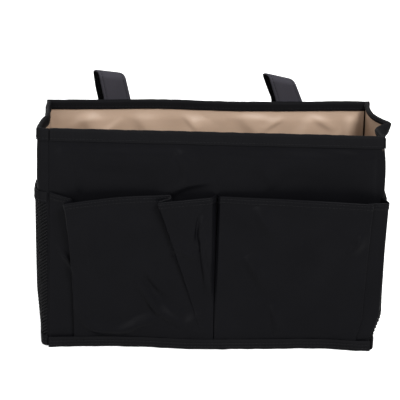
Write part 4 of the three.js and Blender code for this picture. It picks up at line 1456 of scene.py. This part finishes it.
class CADDY_OT_net_pockets(Operator):
    """Builds the net side pockets and the tapes along their mouths"""

    bl_idname = "caddy.net_pockets"
    bl_label = "Net Pockets"

    def execute(self, context):
        sizes = context.scene.caddy_sizes
        shares = np.linspace(NET_END, 1 - NET_END, NET_COLUMNS)
        zs = np.linspace(WALL_FOOT, NET_HIGH - NET_UNDER_TAPE, NET_ROWS)
        inward, heights = self.profile(sizes.tape, sizes.strand)
        for side in SIDES:
            name, facing = side.name, side.sign
            grid = settle(side_grid(side, shares, zs, 0.0, side.net))
            net = add_net(f"{name}_net_strands", grid, sizes, material_of("net"), facing)
            sew_in(net, f"{name}_net_pocket")
            tape = side_grid(side, shares, heights, inward, side.net)
            seed = NET_TAPE_SEED + facing
            tape = settle(puckered(tape, facing, shares * DEPTH, seed, NET_TAPE_PUCKER, NET_TAPE_WANDER))
            cloth = add_cloth(f"{name}_net_tape_cloth", tape, sizes.tape, material_of("tape"), facing)
            sew_in(cloth, f"{name}_net_tape")
            paths = [row_path(cloth, NET_STITCH_ROW)]
            add_stitches(f"{name}_net_tape_stitches", cloth.obj, paths, sizes)
        return {"FINISHED"}

    def profile(self, tape, strand):
        """Inward and height of the middle of a tape folded over a net's mouth."""
        outer = -strand / 2 - tape / 2
        inner = strand / 2 + tape / 2
        top = NET_HIGH - tape / 2 - inner
        up = with_edges(NET_TAPE_LOW, top, TAPE_STEP, TAPE_MARGIN)
        turn = np.linspace(np.pi, 0, NET_FOLD_POINTS)[1:-1]
        inward = np.concatenate([np.full(len(up), outer), inner * np.cos(turn), np.full(len(up), inner)])
        return inward, np.concatenate([up, top + inner * np.sin(turn), up[::-1]])


# Hanging straps

# The end behind each loop is shifted sideways, by one amount at the rim and another at the top
Strap = namedtuple("Strap", "name across lean slope rim_shift top_shift drop")
STRAPS = (
    Strap("left", -0.0900, -0.0058, 0.115, -0.0072, -0.0052, 0.0026),
    Strap("right", 0.0788, -0.0085, 0.225, -0.0044, -0.0056, 0.0050),
)
STRAP_ON_TAPE = STRAP_INNER + 0.0012
LOOP_RADIUS = 0.0055
LOOP_PART = math.radians(60)  # how far past the top of the fold the standing part runs
STEP_UP_FROM = 0.192  # heights between which the strap steps out over the rim tape
STEP_UP_TO = 0.199
BEFORE_STEP = 0.185
STRAP_EDGE = (0, 0.0007, 0.0017, 0.0026, 0.0034, 0.0046)  # from each edge inward
STRAP_EDGE_SHARES = (0.55, 0.85, 0.98, 0.5, 0.98, 1.0)  # of the thickness there
STITCHED_COLUMN = 3  # the thin one
STRAP_MIDDLE_EDGE = 0.0065
STRAP_MIDDLE_COLUMNS = 9
STRAP_STEP = 0.0013
STAND_POINTS = 24
TAIL_POINTS = 8


def strap_run(strap, path, sizes, behind):
    """A band along a path of depth and height, leaning sideways above the rim."""
    half = sizes.strap_width / 2
    edge = np.array(STRAP_EDGE)
    inner = half - STRAP_MIDDLE_EDGE
    middle = np.linspace(-inner, inner, STRAP_MIDDLE_COLUMNS)
    across = np.concatenate([-half + edge, middle, (half - edge)[::-1]])
    y, z = path[:, 0:1], path[:, 1:2]
    above = np.clip((z - RIM) / LOOP_RISE, 0, 1)
    shift = blend_of(strap.rim_shift, strap.top_shift, above) * behind[:, None]
    x = strap.across + across[None, :] + strap.lean * above + shift
    z = z - (strap.drop + strap.slope * across[None, :]) * above
    y = np.broadcast_to(y, x.shape)
    return settle(np.stack([x, y, z], axis=-1), strap.across)


def strap_thickness(sizes, columns):
    """Thinner along the two lines of stitching."""
    edge = np.array(STRAP_EDGE_SHARES)
    shares = np.concatenate([edge, np.ones(columns - 2 * len(edge)), edge[::-1]])
    return sizes.strap * shares[None, :]


class CADDY_OT_straps(Operator):
    """Builds the two hanging straps, each a sewn loop and a separate end"""

    bl_idname = "caddy.straps"
    bl_label = "Hanging Straps"

    def execute(self, context):
        sizes = context.scene.caddy_sizes
        material = material_of("strap")
        thick = sizes.strap
        on_panel = STRAP_INNER + thick / 2
        on_tape = STRAP_ON_TAPE + thick / 2
        middle = on_tape + thick / 2 + LOOP_RADIUS
        radius = LOOP_RADIUS + thick / 2
        spring = LOOP_TOP - radius - thick / 2
        parting = np.pi / 2 - LOOP_PART
        rise = np.array(
            [
                (on_panel, STRAP_FOOT),
                (on_panel, BEFORE_STEP),
                (on_panel, STEP_UP_FROM),
                (on_tape, STEP_UP_TO),
                (on_tape, RIM),
                (on_tape, spring),
            ]
        )
        turn = np.concatenate(
            [np.linspace(np.pi, parting, STAND_POINTS), np.linspace(parting, 0, TAIL_POINTS)]
        )
        arch = np.stack([middle + radius * np.cos(turn), spring + radius * np.sin(turn)], axis=-1)
        stand = self.even(np.vstack([rise, arch[1:STAND_POINTS]]))
        rear = middle + radius
        on_patch = TAIL_INNER + thick / 2
        fall = curve_through(
            [
                (rear, spring),
                (rear - 0.0006, spring - 0.008),
                (rear - 0.0030, RIM),
                (on_patch + 0.0012, PATCH_HIGH + 0.008),
                (on_patch, PATCH_HIGH - 0.004),
                (on_patch, STRAP_FOOT),
            ]
        )
        tail = self.even(np.vstack([arch[STAND_POINTS:], fall[1:]]))
        stand_behind = smooth_step(on_tape, rear, stand[:, 0])
        tail_behind = smooth_step(on_tape, rear, tail[:, 0]) * smooth_step(PATCH_HIGH, RIM, tail[:, 1])
        for strap in STRAPS:
            name = f"{strap.name}_strap"
            grid = strap_run(strap, stand, sizes, stand_behind)
            thickness = strap_thickness(sizes, grid.shape[1])
            # Both runs take the dark patch material on their whole inside, so each strap shows darker
            # inside than outside
            cloth = add_cloth(f"{name}_stand", grid, thickness, material, 1, material_of("pile"))
            sew_in(cloth, f"{name}_loop")
            self.sew(cloth, f"{name}_stand", sizes)
            grid = strap_run(strap, tail, sizes, tail_behind)
            thickness = strap_thickness(sizes, grid.shape[1])
            cloth = add_cloth(f"{name}_end", grid, thickness, material, 1, material_of("pile"))
            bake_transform(cloth.obj)
            sew_in(cloth, f"{name}_tail", body=None)
            stitches = self.sew(cloth, f"{name}_end", sizes)
            stitches.parent = None
            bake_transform(stitches)
        return {"FINISHED"}

    def even(self, path):
        count = round(run_of(path)[-1] / STRAP_STEP)
        return spaced(path, np.linspace(0, 1, count))

    def sew(self, cloth, name, sizes):
        last = cloth.grid.shape[1] - 1
        paths = []
        for column in (STITCHED_COLUMN, last - STITCHED_COLUMN):
            for side in (1, -1):
                paths.append(column_path(cloth, column, side))
        return add_stitches(f"{name}_stitches", cloth.obj, paths, sizes)


# Hook and loop patches

PATCH_MARGIN = 0.0015
PATCH_CORNER = 0.0015
PATCH_COLUMNS = 46
PATCH_ROWS = 60
BACKING = 0.0007
LOOP_MIDDLE = 0.0006  # from the patch's inner face
HOOK_MIDDLE = 0.0010
PILE = 0.0005
PILE_TUFT = 0.0011
PILE_SEED = 5.0
HOOK_SPACING = 3  # in steps of the backing's grid
HOOK_FOOT = 0.0003
HOOK_RINGS = ((0, 0, 0.00022), (0.00035, 0.0001, 0.00016), (0.0005, 0.0004, 0.0001))  # rise, lean, width


def patch_grid(strap, low, high, depth, sizes):
    """A patch with rounded corners, flat against the strap."""
    half = sizes.strap_width / 2 - PATCH_MARGIN
    x, z = np.meshgrid(np.linspace(-half, half, PATCH_COLUMNS), np.linspace(low, high, PATCH_ROWS))
    x = x * (half - corner_inset(np.minimum(z - low, high - z), PATCH_CORNER)) / half
    return settle(np.stack([x + strap.across, np.full(x.shape, depth), z], axis=-1), strap.across)


class CADDY_OT_patches(Operator):
    """Builds the hook and loop patches that close the straps"""

    bl_idname = "caddy.patches"
    bl_label = "Hook and Loop Patches"

    def execute(self, context):
        sizes = context.scene.caddy_sizes
        material = material_of("pile")
        for strap in STRAPS:
            name = strap.name
            end = f"{name}_strap_end"
            grid = patch_grid(strap, PATCH_LOW, PATCH_HIGH, LOOP_PATCH_INNER + LOOP_MIDDLE, sizes)
            pile = PILE * (1 + waves(grid[..., 0], grid[..., 2], PILE_TUFT, PILE_SEED))
            cloth = add_cloth(f"{name}_loop_pile", grid, BACKING + pile, material, -1)
            sew_in(cloth, f"{name}_loop_patch")
            grid = patch_grid(strap, HOOK_LOW, HOOK_HIGH, HOOK_PATCH_INNER + HOOK_MIDDLE, sizes)
            cloth = add_cloth(f"{name}_hook_backing", grid, BACKING, material, -1)
            sew_in(cloth, f"{name}_hook_patch", body=end)
            self.hooks(f"{name}_hooks", cloth, material)
        return {"FINISHED"}

    def hooks(self, name, cloth, material):
        """Rows of small bent hooks standing on the backing."""
        points, faces, uvs = [], [], []
        spaced_out = slice(HOOK_SPACING, -HOOK_SPACING, HOOK_SPACING)
        for row in cloth.grid[spaced_out, spaced_out]:
            for place in row:
                foot = place + np.array([0, -HOOK_FOOT, 0])
                faces += tube_faces(len(points), len(HOOK_RINGS), len(SQUARE))
                for rise, lean, width in HOOK_RINGS:
                    for dx, dz in SQUARE:
                        points.append(foot + np.array([dx * width, -rise, lean + dz * width]))
                        uvs.append((dx * width, rise))
        hooks = add_mesh(name, np.array(points), faces, np.array(uvs), material)
        hooks.parent = cloth.obj
        hooks.matrix_parent_inverse = cloth.obj.matrix_world.inverted()


# Stage

CAMERA_TARGET = (-0.0111, 0.0, 0.1269)
FLOOR_COLOUR = (0.8, 0.8, 0.8, 1)
FLOOR_ROUGHNESS = 0.9
FLOOR_SPECULAR = 0.1
FLOOR_GLOW = 0.62
FLOOR_HALF = 6.0
FLOOR_DROP = 0.0002
LIT_POINT = (0, 0, 0.12)
SENSOR = 36.0  # millimetres
LAMPS = (  # name, place and size
    ("Key", (1.1, -2.2, 2.5), 1.3),
    ("Fill", (-1.6, -2.5, 0.9), 1.4),
    ("Top", (0.1, 0.2, 2.6), 1.6),
    ("Back", (-0.7, 2.6, 1.5), 1.4),
)


def seen_rays(tree):
    """One for the rays that show the background, seen straight, in a reflection or through a piece."""
    path = tree.nodes.new("ShaderNodeLightPath")
    seen = calculate(tree, "ADD", path.outputs["Is Camera Ray"], path.outputs["Is Glossy Ray"])
    return calculate(tree, "ADD", seen, path.outputs["Is Transmission Ray"])


class CADDY_OT_stage(Operator):
    """Sets up the floor, the soft light and the camera"""

    bl_idname = "caddy.stage"
    bl_label = "Stage"

    def execute(self, context):
        studio = context.scene.caddy_studio
        self.floor()
        self.surround(context.scene, studio.surround)
        for name, place, size in LAMPS:
            self.lamp(name, place, size, getattr(studio, name.lower()))
        self.camera(context.scene, studio)
        context.scene.view_settings.view_transform = "Standard"
        return {"FINISHED"}

    def floor(self):
        corners = [(FLOOR_HALF * x, FLOOR_HALF * y, 0) for x, y in SQUARE]
        mesh = bpy.data.meshes.new("Floor")
        mesh.from_pydata(corners, [], [(0, 1, 2, 3)])
        floor = bpy.data.objects.new("Floor", mesh)
        floor.location.z = -FLOOR_DROP
        bpy.context.scene.collection.objects.link(floor)
        material = bpy.data.materials.new("Stage Floor")
        material.use_nodes = True
        tree = material.node_tree
        shader = tree.nodes["Principled BSDF"]
        shader.inputs["Base Color"].default_value = FLOOR_COLOUR
        shader.inputs["Roughness"].default_value = FLOOR_ROUGHNESS
        shader.inputs["Specular IOR Level"].default_value = FLOOR_SPECULAR
        glow = calculate(tree, "MULTIPLY", seen_rays(tree), FLOOR_GLOW)
        tree.links.new(glow, shader.inputs["Emission Color"])
        shader.inputs["Emission Strength"].default_value = 1.0
        mesh.materials.append(material)

    def surround(self, scene, strength):
        world = bpy.data.worlds.new("Studio")
        world.use_nodes = True
        tree = world.node_tree
        backdrop = tree.nodes["Background"]
        level = calculate(tree, "MULTIPLY_ADD", seen_rays(tree), 1.0 - strength, strength)
        tree.links.new(level, backdrop.inputs["Strength"])
        backdrop.inputs["Color"].default_value = (1, 1, 1, 1)
        scene.world = world

    def lamp(self, name, place, size, power):
        light = bpy.data.lights.new(name, "AREA")
        light.shape = "DISK"
        light.size = size
        light.energy = power
        lamp = bpy.data.objects.new(name, light)
        lamp.location = place
        lamp.rotation_mode = "QUATERNION"
        lamp.rotation_quaternion = (Vector(LIT_POINT) - Vector(place)).to_track_quat("-Z", "Y")
        bpy.context.scene.collection.objects.link(lamp)

    def camera(self, scene, studio):
        data = bpy.data.cameras.new("Camera")
        data.lens = studio.lens
        data.sensor_width = SENSOR
        flat = math.cos(studio.pitch)
        back = Vector((math.sin(studio.yaw) * flat, -math.cos(studio.yaw) * flat, math.sin(studio.pitch)))
        right = (-back).cross(Vector((0, 0, 1))).normalized()
        up = right.cross(-back)
        tilted_right = right * math.cos(studio.roll) + up * math.sin(studio.roll)
        tilted_up = up * math.cos(studio.roll) - right * math.sin(studio.roll)
        turn = Matrix((tilted_right, tilted_up, back)).transposed().to_4x4()
        camera = bpy.data.objects.new("Camera", data)
        camera.matrix_world = Matrix.Translation(Vector(CAMERA_TARGET) + back * studio.distance) @ turn
        scene.collection.objects.link(camera)
        scene.camera = camera


PIECES = (
    CADDY_OT_boards,
    CADDY_OT_walls,
    CADDY_OT_lining,
    CADDY_OT_rim_tapes,
    CADDY_OT_foot_tapes,
    CADDY_OT_front_pockets,
    CADDY_OT_net_pockets,
    CADDY_OT_straps,
    CADDY_OT_patches,
    CADDY_OT_stage,
)


class CADDY_PT_build(Panel):
    """Lists the caddy's pieces, sizes and colours"""

    bl_idname = "CADDY_PT_build"
    bl_label = "Bedside Caddy"
    bl_space_type = "VIEW_3D"
    bl_region_type = "UI"
    bl_category = "Caddy"

    def draw(self, context):
        layout = self.layout
        for piece in PIECES:
            layout.operator(piece.bl_idname)
        for group in (context.scene.caddy_sizes, context.scene.caddy_colours, context.scene.caddy_studio):
            box = layout.box()
            for name in group.bl_rna.properties.keys():
                if name not in ("rna_type", "name"):
                    box.prop(group, name)


CLASSES = (CaddySizes, CaddyColours, CaddyStudio, *PIECES, CADDY_PT_build)


def register():
    for cls in CLASSES:
        bpy.utils.register_class(cls)
    bpy.types.Scene.caddy_sizes = PointerProperty(type=CaddySizes)
    bpy.types.Scene.caddy_colours = PointerProperty(type=CaddyColours)
    bpy.types.Scene.caddy_studio = PointerProperty(type=CaddyStudio)


def unregister():
    del bpy.types.Scene.caddy_studio
    del bpy.types.Scene.caddy_colours
    del bpy.types.Scene.caddy_sizes
    for cls in reversed(CLASSES):
        bpy.utils.unregister_class(cls)


def main():
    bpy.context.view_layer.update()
    register()
    for piece in PIECES:
        family, action = piece.bl_idname.split(".")
        done = getattr(getattr(bpy.ops, family), action)()
        if done != {"FINISHED"}:
            raise RuntimeError(f"{piece.bl_label} did not finish")


if __name__ == "__main__":
    main()
